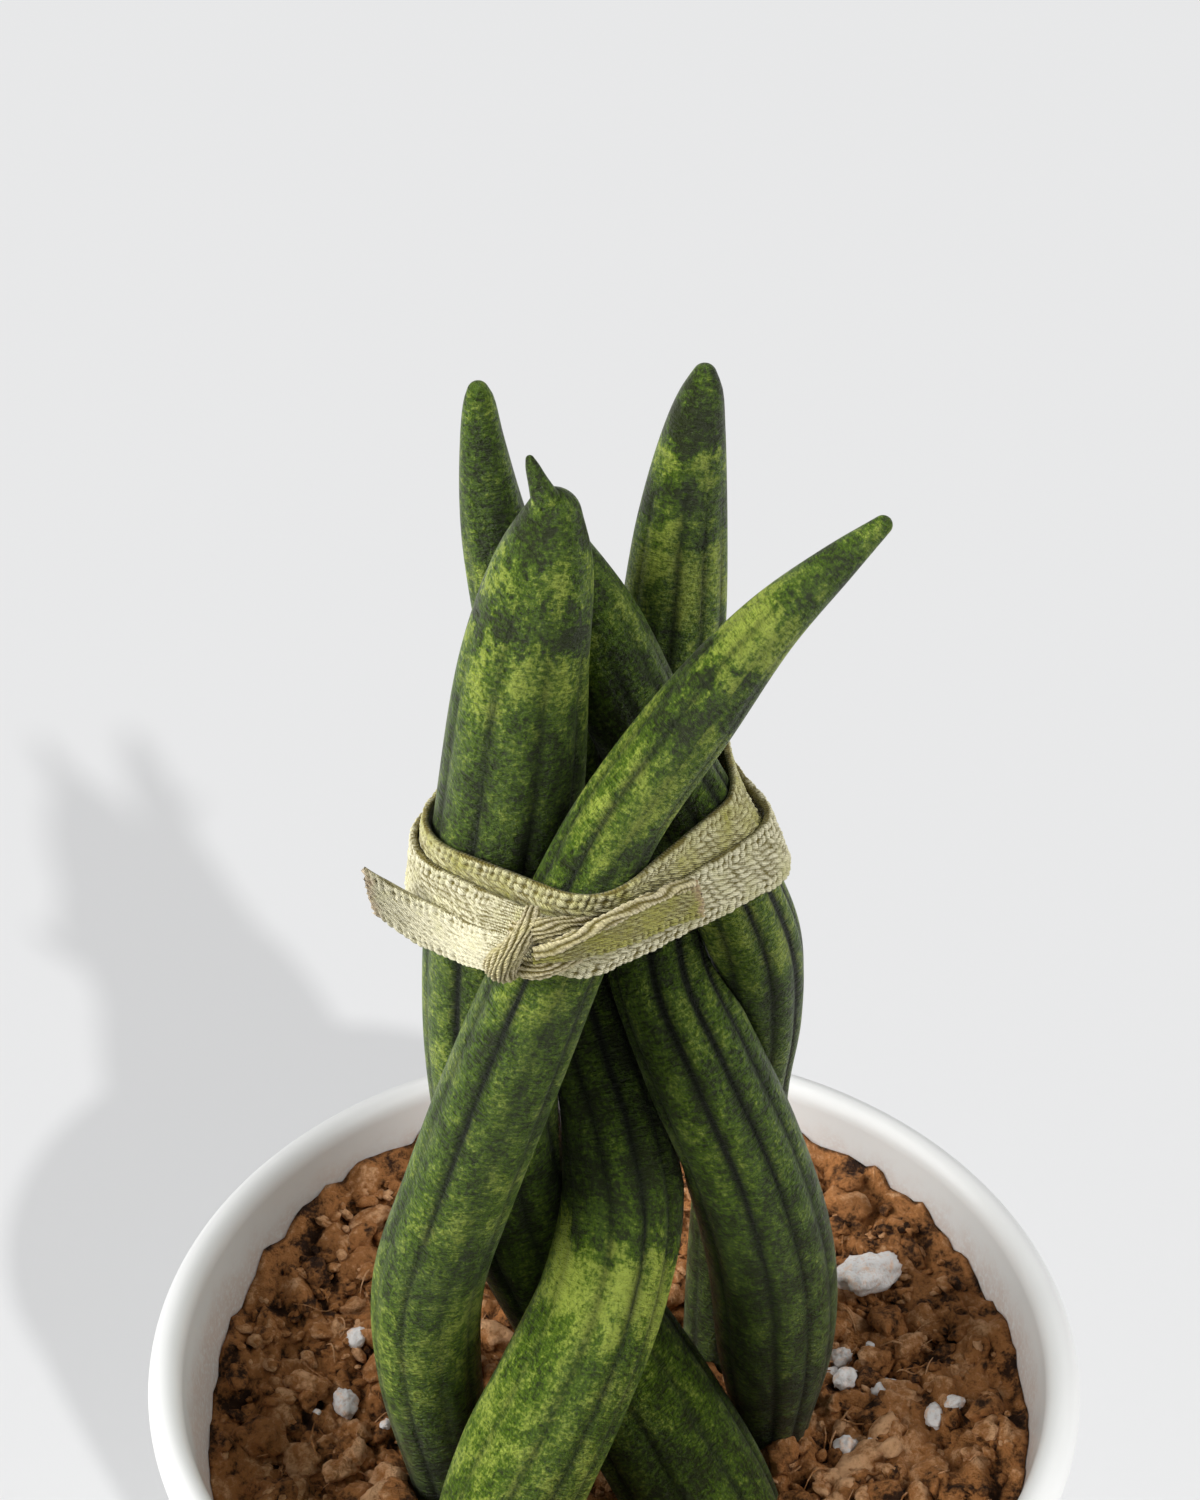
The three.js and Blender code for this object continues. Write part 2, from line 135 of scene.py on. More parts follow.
# Leaves. Stations are x, y, z and radius from root to tip. Bands give how pale the leaf is, from 0
# to 1, at distances from the tip. Grooves are an angle from the side that faces -Y and a strength.
# The leaf winds by its twist from tip to root. Angles are in degrees.
LEAVES = {
    "leaf_slanting": {
        "stations": [
            (-18.5, -9, 64, 5.2), (-20.5, -9.5, 82, 5.6), (-23, -11.5, 104, 6.6),
            (-22.5, -13, 120, 6.9), (-18, -15, 137, 6.6), (-11.5, -16.7, 158, 6.3),
            (-6, -16.5, 173, 5.7), (0, -15, 187, 5.0), (8.5, -13, 199.7, 4.6),
            (15.5, -11.5, 208.7, 3.4), (22.3, -10, 215, 2.1), (27, -9, 219, 1.0),
        ],
        "bands": [
            (0, 0.35), (6, 0.2), (11, 0.25), (14, 0.75), (19, 0.7), (22, 0.1), (27, 0.15),
            (31, 0.5), (41, 0.6), (45, 0.2), (53, 0.35), (58, 0.5), (66, 0.2), (74, 0.3),
            (84, 0.25), (92, 0.4), (98, 0.4), (102, 0.2), (108, 0.25), (118, 0.5), (126, 0.4),
            (134, 0.15), (170, 0.1),
        ],
        "grooves": [
            (-36, 0.9), (4, 0.3), (41, 0.7), (80, 0.7), (120, 0.8), (165, 0.8), (-150, 0.8),
            (-112, 0.7), (-76, 0.5),
        ],
        "twist": 20,
        "seed": 1,
    },
    "leaf_stout": {
        "stations": [
            (15, -18, 64, 8.4), (12.5, -14.8, 80, 9.4), (5, -8.3, 92.5, 9.4),
            (-4.5, -3.4, 107.5, 8.9), (-11.5, -2, 123, 8.2), (-14.7, -2.6, 145, 7.7),
            (-14, -4.6, 168, 7.9), (-11.5, -6.3, 186, 8.2), (-9.6, -7.4, 203, 6.9),
            (-7.3, -7.5, 215, 4.9), (-6.3, -7.5, 220.4, 2.7),
        ],
        "bands": [
            (0, 0.15), (4, 0.15), (6, 0.5), (8.5, 0.55), (10.5, 0.08), (13.5, 0.08), (15, 0.58),
            (20, 0.5), (24, 0.25), (32, 0.2), (46, 0.15), (60, 0.35), (70, 0.45), (78, 0.25),
            (100, 0.15), (124, 0.25), (130, 0.3), (138, 0.15), (167, 0.1),
        ],
        "grooves": [
            (-64, 0.5), (-22, 0.95), (21, 0.85), (63, 0.8), (107, 0.9), (152, 0.9), (-163, 0.9),
            (-110, 0.8),
        ],
        "twist": -14,
        "seed": 2,
    },
    "leaf_left_rear": {
        "stations": [
            (-17, -27.5, 64, 7.4), (-15.5, -26.5, 83, 8.3), (-11.5, -24, 98.5, 8.6),
            (-6.5, -20.3, 109, 8.2), (-1.5, -14.8, 119.5, 7.6), (1, -8, 129, 7.4),
            (0, -2, 137.5, 7.1), (-3, 3.8, 146.5, 6.7), (-7.1, 8.6, 160, 6.2),
            (-7.4, 10.9, 174, 6.5), (-9.3, 11.4, 190, 5.9), (-13.3, 10.8, 209, 3.8),
            (-14.5, 10, 220, 2.4), (-14.7, 9.6, 225, 1.6), (-14.8, 9.5, 226.2, 1.1),
        ],
        "bands": [
            (0, 0.3), (8, 0.2), (18, 0.25), (22, 0.5), (28, 0.4), (36, 0.2), (80, 0.1), (104, 0.1),
            (107, 0.15), (110, 0.75), (116, 0.7), (120, 0.35), (128, 0.35), (134, 0.5), (142, 0.4),
            (175, 0.2),
        ],
        "grooves": [
            (-58, 0.5), (-16, 0.8), (17, 1.0), (45, 0.8), (84, 0.8), (125, 0.9), (166, 0.9),
            (-150, 0.9), (-104, 0.7),
        ],
        "twist": 0,
        "seed": 3,
    },
    "leaf_right_rear": {
        "stations": [
            (21.5, 2, 64, 4.8), (21, -0.5, 82, 5.0), (20.7, -2.3, 100, 7.5),
            (19.5, -3.8, 116, 8.0), (15.6, -5, 133, 7.7), (9.8, -3.8, 148, 7.3),
            (5.2, 0.6, 158.5, 6.6), (4, 6.2, 168.5, 6.5), (4.6, 9.8, 180, 6.5),
            (6.3, 11.9, 195, 6.1), (7.3, 12.6, 209, 5.0), (8.6, 12.5, 220.5, 3.3),
            (9.3, 12.3, 225, 2.2), (9.5, 12.2, 227.1, 1.2),
        ],
        "bands": [
            (0, 0.15), (5, 0), (8, 0.08), (9.5, 0.5), (11.5, 0.45), (13, 0.05), (16, 0.1),
            (18, 0.5), (26, 0.55), (30, 0.3), (36, 0.15), (60, 0.15), (74, 0.3), (84, 0.2),
            (96, 0.25), (110, 0.15), (124, 0.2), (140, 0.1), (168, 0.1),
        ],
        "grooves": [
            (-52, 0.7), (-3, 1.1), (30, 1.0), (62, 0.9), (100, 0.9), (141, 1.0), (180, 0.9),
            (-140, 0.9), (-97, 0.6),
        ],
        "twist": 0,
        "seed": 4,
    },
    "leaf_middle": {
        "stations": [
            (15, 17.5, 64, 5.2), (15.5, 15.9, 80, 5.8), (16, 12.4, 110, 5.8), (16.6, 8, 134, 5.5),
            (17.0, 4.8, 147.5, 6.0), (16.0, 1.9, 159.5, 6.2), (13.3, -0.7, 169.5, 5.6),
            (9.5, -2, 178, 5.5), (5.5, -2, 185.5, 5.5), (1.6, -0.6, 193.2, 5.5),
            (-2.6, 1.8, 202, 5.2), (-6.1, 4, 209.3, 3.5), (-7.7, 5.2, 213.6, 1.7),
        ],
        "bands": [
            (0, 0.3), (8, 0.2), (14, 0.4), (20, 0.15), (28, 0.2), (44, 0.2), (50, 0.5),
            (60, 0.45), (66, 0.15), (76, 0.3), (100, 0.2), (158, 0.1),
        ],
        "grooves": [
            (-34, 0.6), (8, 0.8), (46, 1.0), (76, 0.9), (116, 0.9), (160, 0.9), (-158, 0.9),
            (-112, 0.8), (-72, 0.6),
        ],
        "twist": 24,
        "seed": 5,
    },
}
# The stout leaf's blunt end grows a small point, which leans to the left
POINT = {
    "stations": [
        (-6.6, -7.7, 218.4, 2.2), (-6.9, -8, 220.2, 1.9), (-7.5, -8.4, 222.0, 1.4),
        (-8.1, -8.3, 223.6, 1.0), (-8.6, -8.1, 225.0, 0.7), (-8.85, -8, 225.8, 0.42),
    ],
    "grooves": [(0, 0), (180, 0)],
    "twist": 0,
    "seed": 6,
}
LEAF_SIDES = 144
LEAF_STEP = 1.0
POINT_STEP = 0.2
TIP_RINGS = 8
SMOOTH_TIP = (4, 24)  # the grooves fade out between these distances below the tip
CREASE = 0.62  # half width of a groove's bottom
BAND_SHIFT = 3.5  # most that a pale band is shifted on a rib
PRESS_GAP = 0.04  # share of the radius left free where two leaves press on each other

# Ribbon

CLEARANCE = 0.35
TURN_GAP = 0.5  # between the two turns
RIBBON_FRONT = 178.6  # height of the inner turn's middle in front
RIBBON_BACK_DROP = 6.3
RIBBON_RIGHT_RISE = 2.4
OUTER_DROP = 2.5
ROWS = 9
STITCH = 1.6
BEADS = 1.9  # length of a pair of beads on the edge
STRAND = 0.42
BACK_RELIEF = 0.35
BACK_COLUMNS = 9  # the back has only a few columns, as it faces the leaves
NO_END = 99.0  # distance to the cut end where there is none
KNOT = (-11, -23)
LOW_LEFT = (-17, -15)  # the outer turn stands off the leaves round this place
TURN_STEPS = 640
TURN_COLUMNS = 64
TURN_ROWS = 9  # lines round the leaves that a turn's columns are worked out from
TAPE_STEP = 0.16
TAPE_COLUMNS = 45
# Finishes of the tape, each from 0 to 1: how much painted shade turns it olive, how stained it is,
# and how much painted light lifts it
TAPE_FINISHES = {
    "woven_ribbon": (0.1, 0, 0),
    "used_ribbon": (0.6, 0, 0),
    "worn_ribbon": (0.9, 0, 0),
    "pulled_ribbon": (0.4, 0.6, 0),
    # Painted light lifts the left tail's tape
    "bleached_ribbon": (0, 0, 0.2),
}
TAIL_FINISH = {"ribbon_tail_left": "bleached_ribbon", "ribbon_tail_right": "worn_ribbon"}
# Free pieces of tape: x, y, z, width, and in degrees the lean of the width and its bend into a
# gutter. The width stands upright, but lies across in the strap that goes over the knot.
TAPES = {
    "ribbon_tail_left": [
        (-11.2, -22.8, 175.2, 4.4, 0, 70), (-14.5, -19.8, 173.9, 5.2, 0, 40),
        (-18, -16, 172.9, 5.9, 3, 25), (-21.5, -13.6, 173.1, 6.2, 7, 18),
        (-24.6, -12.4, 174.5, 6.2, 10, 20), (-27, -12, 176.1, 6.2, 12, 26),
    ],
    "ribbon_tail_right": [
        (-8.8, -26.1, 177.4, 1.5, 0, 150), (-5.9, -26.0, 178.1, 2.6, -4, 90),
        (-1.9, -24.7, 178.8, 4.3, -8, 50), (1.9, -21.9, 178.8, 5.0, -10, 32),
        (5.6, -18.1, 178.1, 5.3, -12, 24), (9.0, -14.6, 177.0, 5.2, -13, 20),
    ],
    "ribbon_tail_fold": [
        (-8.6, -26.6, 178.2, 1.5, 0, 280), (-5.9, -26.7, 179.2, 1.5, 0, 280),
        (-1.9, -25.3, 180.7, 1.4, 0, 280), (1.9, -22.5, 181.1, 1.3, 0, 280),
        (5.6, -18.6, 180.5, 1.1, 0, 270), (8.2, -15.9, 179.8, 0.7, 0, 240),
    ],
    "ribbon_knot_upper": [
        (-11.2, -24.2, 179.0, 2.6, 0, 150), (-9.4, -25.4, 179.6, 3.2, 0, 160),
        (-8, -25.7, 180.0, 3.1, 0, 160), (-6.3, -25.2, 180.1, 2.8, 0, 150),
        (-4.4, -24.2, 179.6, 2.4, 0, 130), (-2.6, -23.0, 178.9, 2.0, 0, 110),
    ],
    "ribbon_knot_lower": [
        (-11.4, -24.4, 175.2, 2.2, 0, 180), (-9.4, -25.8, 175.4, 2.5, 0, 190),
        (-7.9, -26.1, 175.6, 2.5, 0, 190), (-6.4, -25.6, 175.8, 2.3, 0, 180),
        (-4.9, -24.7, 176.0, 2.1, 0, 160), (-3.4, -23.5, 176.1, 1.7, 0, 130),
    ],
    "ribbon_knot_strap": [
        (-8.9, -22.6, 181.2, 1.4, 0, 120), (-9.2, -24.9, 180.9, 1.9, 0, 150),
        (-10.4, -26.5, 179.4, 3.0, 0, 165), (-11.6, -27.0, 177.5, 4.2, 0, 165),
        (-12.1, -26.4, 175.5, 4.4, 0, 155), (-11.9, -24.9, 173.8, 3.4, 0, 145),
        (-11.3, -22.8, 172.8, 2.2, 0, 120),
    ],
}

# Stage, in metres and degrees. A light is where it shines from, its spread, its power and what it
# lights. The shadow light only throws the plant's soft shadow on the floor.

FLOOR_REACH = 40
SKY = (0.96, 0.975, 1.0, 1)
SKY_POWER = 0.29
LIGHTS = {
    "left_light": ((-0.89, -0.22, 0.40), 55, 5.6, "plant"),
    "right_light": ((0.85, -0.08, 0.50), 50, 2.4, "plant"),
    "pot_left_light": ((-0.78, -0.50, 0.37), 90, 4.3, "pot"),
    "pot_right_light": ((0.60, -0.67, 0.43), 60, 2.3, "pot"),
    "floor_light": ((0, 0, 1), 20, 1.65, "floor"),
    "shadow_light": ((0.334, -0.761, 0.555), 1.8, 1.2, "floor"),
}
CAMERA_PLACE = (-0.00178, -0.22952, 0.32379)
CAMERA_DOWN = 30.8
LENS, SENSOR = 57.6, 36  # millimetres


def measure(name, description, value, least, most):
    return bpy.props.FloatProperty(
        name=name, description=description, default=value, min=least, max=most, unit="LENGTH",
    )


def colour(name, description, value):
    return bpy.props.FloatVectorProperty(
        name=name, description=description, default=value, size=3, min=0, max=1, subtype="COLOR",
    )


class PlantSizes(bpy.types.PropertyGroup):
    """Sizes of the plant that can be changed without moving its pieces."""

    groove_depth: bpy.props.FloatProperty(
        name="Groove depth", description="How far a groove cuts into a leaf's radius",
        default=8, min=0, max=20, subtype="PERCENTAGE",
    )
    ribbon_width: measure("Ribbon width", "Width of the woven tape", 0.007, 0.003, 0.012)
    ribbon_thickness: measure(
        "Ribbon thickness", "Thickness of the tape between its stitches", 0.0005, 0.0002, 0.0015)
    stitch_relief: measure(
        "Stitch relief", "How far the stitches stand out of the tape", 0.0004, 0, 0.0006)
    soil_humps: measure("Soil humps", "Height of the soil's small humps", 0.0018, 0, 0.004)


class PlantColours(bpy.types.PropertyGroup):
    """Colours of the plant's finishes, in linear light."""

    leaf_dark: colour("Dark band", "Green of a leaf's dark bands", (0.021, 0.031, 0.003))
    leaf_green: colour("Green", "Green of a leaf between its bands", (0.066, 0.130, 0.001))
    leaf_pale: colour("Pale band", "Yellow-green of a leaf's pale bands", (0.35, 0.43, 0.06))
    # Grey bloom on the dark bands, also painted as a sheen where the skin is seen edge on
    leaf_bloom_and_sheen: colour("Bloom", "Grey bloom on the dark bands", (0.17, 0.16, 0.135))
    # Painted shade at the bottom of the grooves
    leaf_groove_shade: colour("Groove", "Green at the bottom of a groove", (0.008, 0.012, 0.003))
    glaze: colour("Glaze", "White of the glazed pot", (0.83, 0.83, 0.81))
    bare_foot: colour("Bare foot", "Unglazed ceramic of the foot ring", (0.62, 0.57, 0.49))
    # Dark brown of the soil, also used as painted shade in the hollows and in the crumbs' dents
    soil_dark_and_shade: colour("Wet soil", "Darkest brown, deep between the crumbs", (0.035, 0.013, 0.004))
    soil_brown: colour("Coir", "Reddish brown of coir and peat", (0.46, 0.19, 0.058))
    # Tan of bark crumbs, also used as painted light on the tops of humps and crumbs
    soil_tan: colour("Bark", "Tan of dry bark crumbs", (0.82, 0.47, 0.24))
    perlite: colour("Perlite", "White of the perlite grains", (0.74, 0.72, 0.70))
    ribbon: colour("Ribbon", "Cream of the woven tape", (0.87, 0.82, 0.57))
    ribbon_shade: colour("Ribbon shade", "Olive between the stitches", (0.15, 0.12, 0.015))
    # Painted shade: olive of tape that lies in shade
    ribbon_shaded_olive: colour("Worn ribbon", "Olive of the tape where it is worn", (0.42, 0.40, 0.09))
    ribbon_stain: colour("Ribbon stain", "Pinkish tan near the cut ends", (0.56, 0.36, 0.24))
    floor: colour("Floor", "Pale grey of the floor", (0.80, 0.80, 0.80))


class Wire:
    """An output of a material's node. Python's operators on it add the nodes that work them out:
    Math nodes for values, Vector Math nodes for vectors."""

    def __init__(self, tree, socket=None):
        self.tree = tree
        self.socket = socket

    def node(self, kind, settings=(), inputs=(), output=0):
        """Adds a node of a kind to the material, and gives one of its outputs."""
        node = self.tree.nodes.new("ShaderNode" + kind)
        for name, value in dict(settings).items():
            if name == "stops":
                self._set_stops(node.color_ramp, value)
            else:
                setattr(node, name, value)
        for name, value in dict(inputs).items():
            if isinstance(value, Wire):
                self.tree.links.new(value.socket, node.inputs[name])
            else:
                node.inputs[name].default_value = value
        return Wire(self.tree, node.outputs[output]) if node.outputs else None

    @staticmethod
    def _set_stops(ramp, stops):
        while len(ramp.elements) > 1:
            ramp.elements.remove(ramp.elements[-1])
        for k, (position, value) in enumerate(stops):
            element = ramp.elements[0] if k == 0 else ramp.elements.new(position)
            element.position = position
            element.color = (value, value, value, 1)

    def _maths(self, operation, *values):
        kind = "Math"
        if any(isinstance(v, Wire) and v.socket.type == "VECTOR" for v in values):
            kind = "VectorMath"
            values = [(v, v, v) if isinstance(v, (int, float)) else v for v in values]
        return self.node(kind, {"operation": operation}, enumerate(values))

    def __add__(self, other):
        return self._maths("ADD", self, other)

    __radd__ = __add__

    def __sub__(self, other):
        return self._maths("SUBTRACT", self, other)

    def __rsub__(self, other):
        return self._maths("SUBTRACT", other, self)

    def __mul__(self, other):
        return self._maths("MULTIPLY", self, other)

    __rmul__ = __mul__

    def clamp(self):
        return self.node("Clamp", {}, {"Value": self})

    def step(self, low, high):
        """Rises smoothly from 0 at low to 1 at high."""
        inputs = {"Value": self, "From Min": low, "From Max": high}
        return self.node("MapRange", {"interpolation_type": "SMOOTHSTEP"}, inputs)

    def mix(self, first, second):
        """Goes from the first colour to the second as this value goes from 0 to 1."""
        ends = [v if isinstance(v, Wire) else (*v, 1) for v in (first, second)]
        return self.node("Mix", {"data_type": "RGBA"}, {0: self, 6: ends[0], 7: ends[1]}, output=2)

    def noise(self, scale, detail=2.0, roughness=0.5):
        """Noise at this place, from 0 to 1. The scale may differ by direction."""
        inputs = {"Vector": self * scale, "Scale": 1.0, "Detail": detail, "Roughness": roughness}
        return self.node("TexNoise", {}, inputs)

    def part(self, axis):
        """One component of this vector."""
        return self.node("SeparateXYZ", {}, {"Vector": self}, output=axis)

    def bump(self, height, distance, strength=1.0):
        """The surface normal with this height added, in metres of depth."""
        return self.node("Bump", {}, {"Height": height, "Distance": distance, "Strength": strength})


def material(name, paint):
    """A material whose paint function takes a first wire and gives the shader's inputs."""
    made = bpy.data.materials.new(name)
    made.use_nodes = True
    tree = made.node_tree
    tree.nodes.clear()
    shader = Wire(tree).node("BsdfPrincipled", {}, paint(Wire(tree)))
    shader.node("OutputMaterial", {}, {"Surface": shader})
    return made


def attribute(start, name, output="Vector"):
    return start.node("Attribute", {"attribute_name": name}, output=output)


def where(start):
    """The place in millimetres."""
    return start.node("NewGeometry") * (1000, 1000, 1000)


def shade(name):
    return tuple(getattr(bpy.context.scene.plant_colours, name))


# Meshes


def add_piece(name, points, faces, finish, layers=(), sharp=None):
    """A mesh piece from points in millimetres, with its layers of vertex values."""
    mesh = bpy.data.meshes.new(name)
    mesh.from_pydata((np.asarray(points) * MM).tolist(), [], [tuple(face) for face in faces])
    if mesh.validate():
        raise RuntimeError(f"{name} has faces that aren't valid")
    for layer, values in dict(layers).items():
        values = np.asarray(values, np.float32)
        kind, field = ("FLOAT", "value") if values.ndim == 1 else ("FLOAT_VECTOR", "vector")
        mesh.attributes.new(layer, kind, "POINT").data.foreach_set(field, values.ravel())
    outward = bmesh.new()
    outward.from_mesh(mesh)
    bmesh.ops.recalc_face_normals(outward, faces=outward.faces)
    if outward.calc_volume(signed=True) < 0:
        bmesh.ops.reverse_faces(outward, faces=outward.faces)
    outward.to_mesh(mesh)
    outward.free()
    mesh.shade_smooth()
    if sharp is not None:
        mesh.set_sharp_from_angle(angle=math.radians(sharp))
    mesh.materials.append(finish)
    piece = bpy.data.objects.new(name, mesh)
    bpy.context.scene.collection.objects.link(piece)
    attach(piece, "root")
    return piece


def grid_faces(rows, columns, closed_rows=False, closed_columns=False, first=0):
    """Quads over a grid of points that is numbered row by row."""
    r = np.arange(rows if closed_rows else rows - 1)
    c = np.arange(columns if closed_columns else columns - 1)
    r, c = (a.ravel() for a in np.meshgrid(r, c, indexing="ij"))
    r1, c1 = (r + 1) % rows, (c + 1) % columns
    corners = (r * columns + c, r * columns + c1, r1 * columns + c1, r1 * columns + c)
    return [tuple(face) for face in (np.stack(corners, 1) + first).tolist()]


def tube_faces(rings, sides, first=0):
    """Faces of a tube, from ring to ring, with a face over each end."""
    last = first + (rings - 1) * sides
    ends = (range(first, first + sides)[::-1], range(last, last + sides))
    return grid_faces(rings, sides, closed_columns=True, first=first) + [tuple(end) for end in ends]


def fan_faces(middle, first, sides):
    """Triangles between a middle point and the ring that starts with the first point."""
    return [(first + k, first + (k + 1) % sides, middle) for k in range(sides)]


def circle(sides):
    """Even angles all round."""
    return np.linspace(0, math.tau, sides, endpoint=False)


def unit(vectors):
    return vectors / np.linalg.norm(vectors, axis=-1, keepdims=True)


def smoothstep(values, low, high):
    t = np.clip((values - low) / (high - low), 0, 1)
    return t * t * (3 - 2 * t)


def spaced(line, spacing=None, count=None):
    """Points at even steps along a line of points, from end to end at a spacing, or a count of them
    round a closed line, and the line's length."""
    along = np.concatenate([[0], np.cumsum(np.linalg.norm(np.diff(line[:, :3], axis=0), axis=1))])
    length = along[-1]
    steps = count or max(2, round(length / spacing) + 1)
    even = np.linspace(0, length, steps, endpoint=count is None)
    return np.stack([np.interp(even, along, column) for column in line.T], 1), length


def smooth_line(stations, spacing):
    """The curve through the stations at even steps: its values there and its whole length.
    The first three values of a station are its place."""
    p = np.array(stations, float)
    p = np.vstack([2 * p[0] - p[1], p, 2 * p[-1] - p[-2]])
    root = [math.sqrt(np.linalg.norm(b[:3] - a[:3])) for a, b in zip(p, p[1:])]
    t = np.linspace(0, 1, 60, endpoint=False)[:, None]
    spans = []
    for a, b, c, d, ab, bc, cd in zip(p, p[1:], p[2:], p[3:], root, root[1:], root[2:]):
        start = bc * ((b - a) / ab - (c - a) / (ab + bc) + (c - b) / bc)
        end = bc * ((c - b) / bc - (d - b) / (bc + cd) + (d - c) / cd)
        spans.append(b + start * t + (3 * (c - b) - 2 * start - end) * t**2
                     + (2 * (b - c) + start + end) * t**3)
    return spaced(np.vstack([*spans, p[-2:-1]]), spacing)


# Leaves

LINES = {name: smooth_line(leaf["stations"], LEAF_STEP)[0] for name, leaf in LEAVES.items()}


def nearness(points, line):
    """How far the points lie from a leaf's centreline, as a share of that leaf's radius there."""
    squared = (points**2).sum(1)[:, None] + (line[:, :3] ** 2).sum(1) - 2 * points @ line[:, :3].T
    return np.sqrt(np.maximum(squared, 0) / line[:, 3] ** 2).min(1)


def press(points, centres, radii, neighbours):
    """Flattens a leaf where it presses on its neighbours: its points move in until they are nearer
    to their own centre than to the neighbour's, both as shares of the radius."""
    moved = points.copy()
    for line in neighbours:
        def clear(share, at):
            trial = centres[at] + share[:, None] * (moved[at] - centres[at])
            own = np.linalg.norm(trial - centres[at], axis=1) / radii[at]
            return nearness(trial, line) - own > PRESS_GAP

        everywhere = np.arange(len(moved))
        at = everywhere[~clear(np.ones(len(moved)), everywhere)]
        inside, outside = np.zeros(len(at)), np.ones(len(at))
        # Halving the reach this often finds where the leaves meet
        for _ in range(14):
            middle = (inside + outside) / 2
            free = clear(middle, at)
            inside, outside = np.where(free, middle, inside), np.where(free, outside, middle)
        moved[at] = centres[at] + inside[:, None] * (moved[at] - centres[at])
    return moved


def ribs(angle, grooves):
    """For angles round a leaf: the number of the rib, the place on it from 0 to 1, the angle to the
    nearest groove and the grooves' strength."""
    marks = sorted((math.radians(degrees) % math.tau, strength) for degrees, strength in grooves)
    last, first = marks[-1], marks[0]
    marks = [(last[0] - math.tau, last[1]), *marks, (first[0] + math.tau, first[1])]
    places, strengths = np.array(marks).T
    angle = angle % math.tau
    rib = np.searchsorted(places, angle, side="right") - 1
    gap = places[rib + 1] - places[rib]
    share = (angle - places[rib]) / gap
    strength = strengths[rib] * (1 - share) + strengths[rib + 1] * share
    return rib, share, np.minimum(share, 1 - share) * gap, strength


def leaf_rings(line, length):
    """Rings of a leaf: the distance from the root, the leaf's centre, radius and direction there,
    and the ring's own middle and radius. More rings on the last centre round off the tip."""
    centres, radii = line[:, :3], line[:, 3]
    along = unit(np.gradient(centres, axis=0))
    distance = np.linspace(0, length, len(line))
    taper = math.atan((radii[-2] - radii[-1]) / (distance[-1] - distance[-2]))
    turns = np.linspace(taper, math.pi / 2, TIP_RINGS + 2)[1:-1]
    ball = radii[-1] / math.cos(taper)
    cap = ball * (np.sin(turns) - math.sin(taper))
    middles = np.vstack([centres, centres[-1] + cap[:, None] * along[-1]])
    widths = np.concatenate([radii, ball * np.cos(turns)])
    at = np.minimum(np.arange(len(middles)), len(line) - 1)
    distance = np.concatenate([distance, length + cap])
    return distance, centres[at], radii[at], along[at], middles, widths


def leaf_mesh(leaf, step, neighbours=()):
    """Points, faces and vertex layers of a leaf, from root to rounded tip, and its length."""
    line, length = smooth_line(leaf["stations"], step)
    distance, centres, radii, along, middles, widths = leaf_rings(line, length)
    front = unit(FRONT - along * (along @ FRONT)[:, None])
    side = np.cross(along, front)
    angle = circle(LEAF_SIDES)[None]
    s = distance[:, None]
    from_tip = length - s
    seed = leaf["seed"]
    turned = angle - math.radians(leaf["twist"]) * from_tip / length
    rib, share, away, strength = ribs(turned, leaf["grooves"])
    uneven = 0.85 + 0.25 * np.sin(s / 17 + 2.1 * strength)
    fade = smoothstep(from_tip, *SMOOTH_TIP) * strength * uneven
    crease = np.exp(-((away * radii[:, None] / CREASE) ** 1.3))
    sag = 1 - np.sin(math.pi * share) ** 0.6
    depth = bpy.context.scene.plant_sizes.groove_depth / 100
    # The leaf swells and shrinks a little along and round it, but not at its tip
    waver = 0.014 * np.sin(s / 15 + seed) + 0.01 * np.sin(2 * angle + s / 21 + seed)
    waver = waver + 0.006 * np.sin(3 * angle - s / 9 + 2 * seed)
    waver = waver * smoothstep(from_tip, 0, 20)
    reach = widths[:, None] * (1 + waver - fade * depth * (0.5 * crease + 0.6 * sag))
    points = middles[:, None] + reach[..., None] * (
        front[:, None] * np.cos(angle)[..., None] + side[:, None] * np.sin(angle)[..., None])
    points = press(points.reshape(-1, 3), np.repeat(centres, LEAF_SIDES, 0),
                   np.repeat(radii, LEAF_SIDES), neighbours)
    # The pale bands are shifted a little from rib to rib
    dice = random.Random(seed)
    ribs_and_ends = range(len(leaf["grooves"]) + 2)
    shifts = np.array([dice.uniform(-BAND_SHIFT, BAND_SHIFT) for _ in ribs_and_ends])
    shifts[-1] = shifts[1]
    shifts[0] = shifts[-2]
    band_at = from_tip + shifts[rib] * smoothstep(from_tip, 10, 30)
    place = np.stack([radii[:, None] * np.cos(angle), radii[:, None] * np.sin(angle),
                      from_tip * np.ones_like(angle)], -1)
    points = np.vstack([points, middles[0], middles[-1] + along[-1] * widths[-1] * 0.15])
    layers = {
        "leaf_place": np.vstack([place.reshape(-1, 3), (0, 0, length), (0, 0, 0)]),
        "band_at": np.concatenate([band_at.ravel(), [length, 0]]),
        # Where painted shade darkens the grooves
        "groove": np.concatenate([(crease * fade).ravel(), [0, 0]]),
    }
    rings = len(middles)
    root = rings * LEAF_SIDES
    faces = grid_faces(rings, LEAF_SIDES, closed_columns=True)
    faces += fan_faces(root, 0, LEAF_SIDES) + fan_faces(root + 1, root - LEAF_SIDES, LEAF_SIDES)
    return points, faces, layers, length


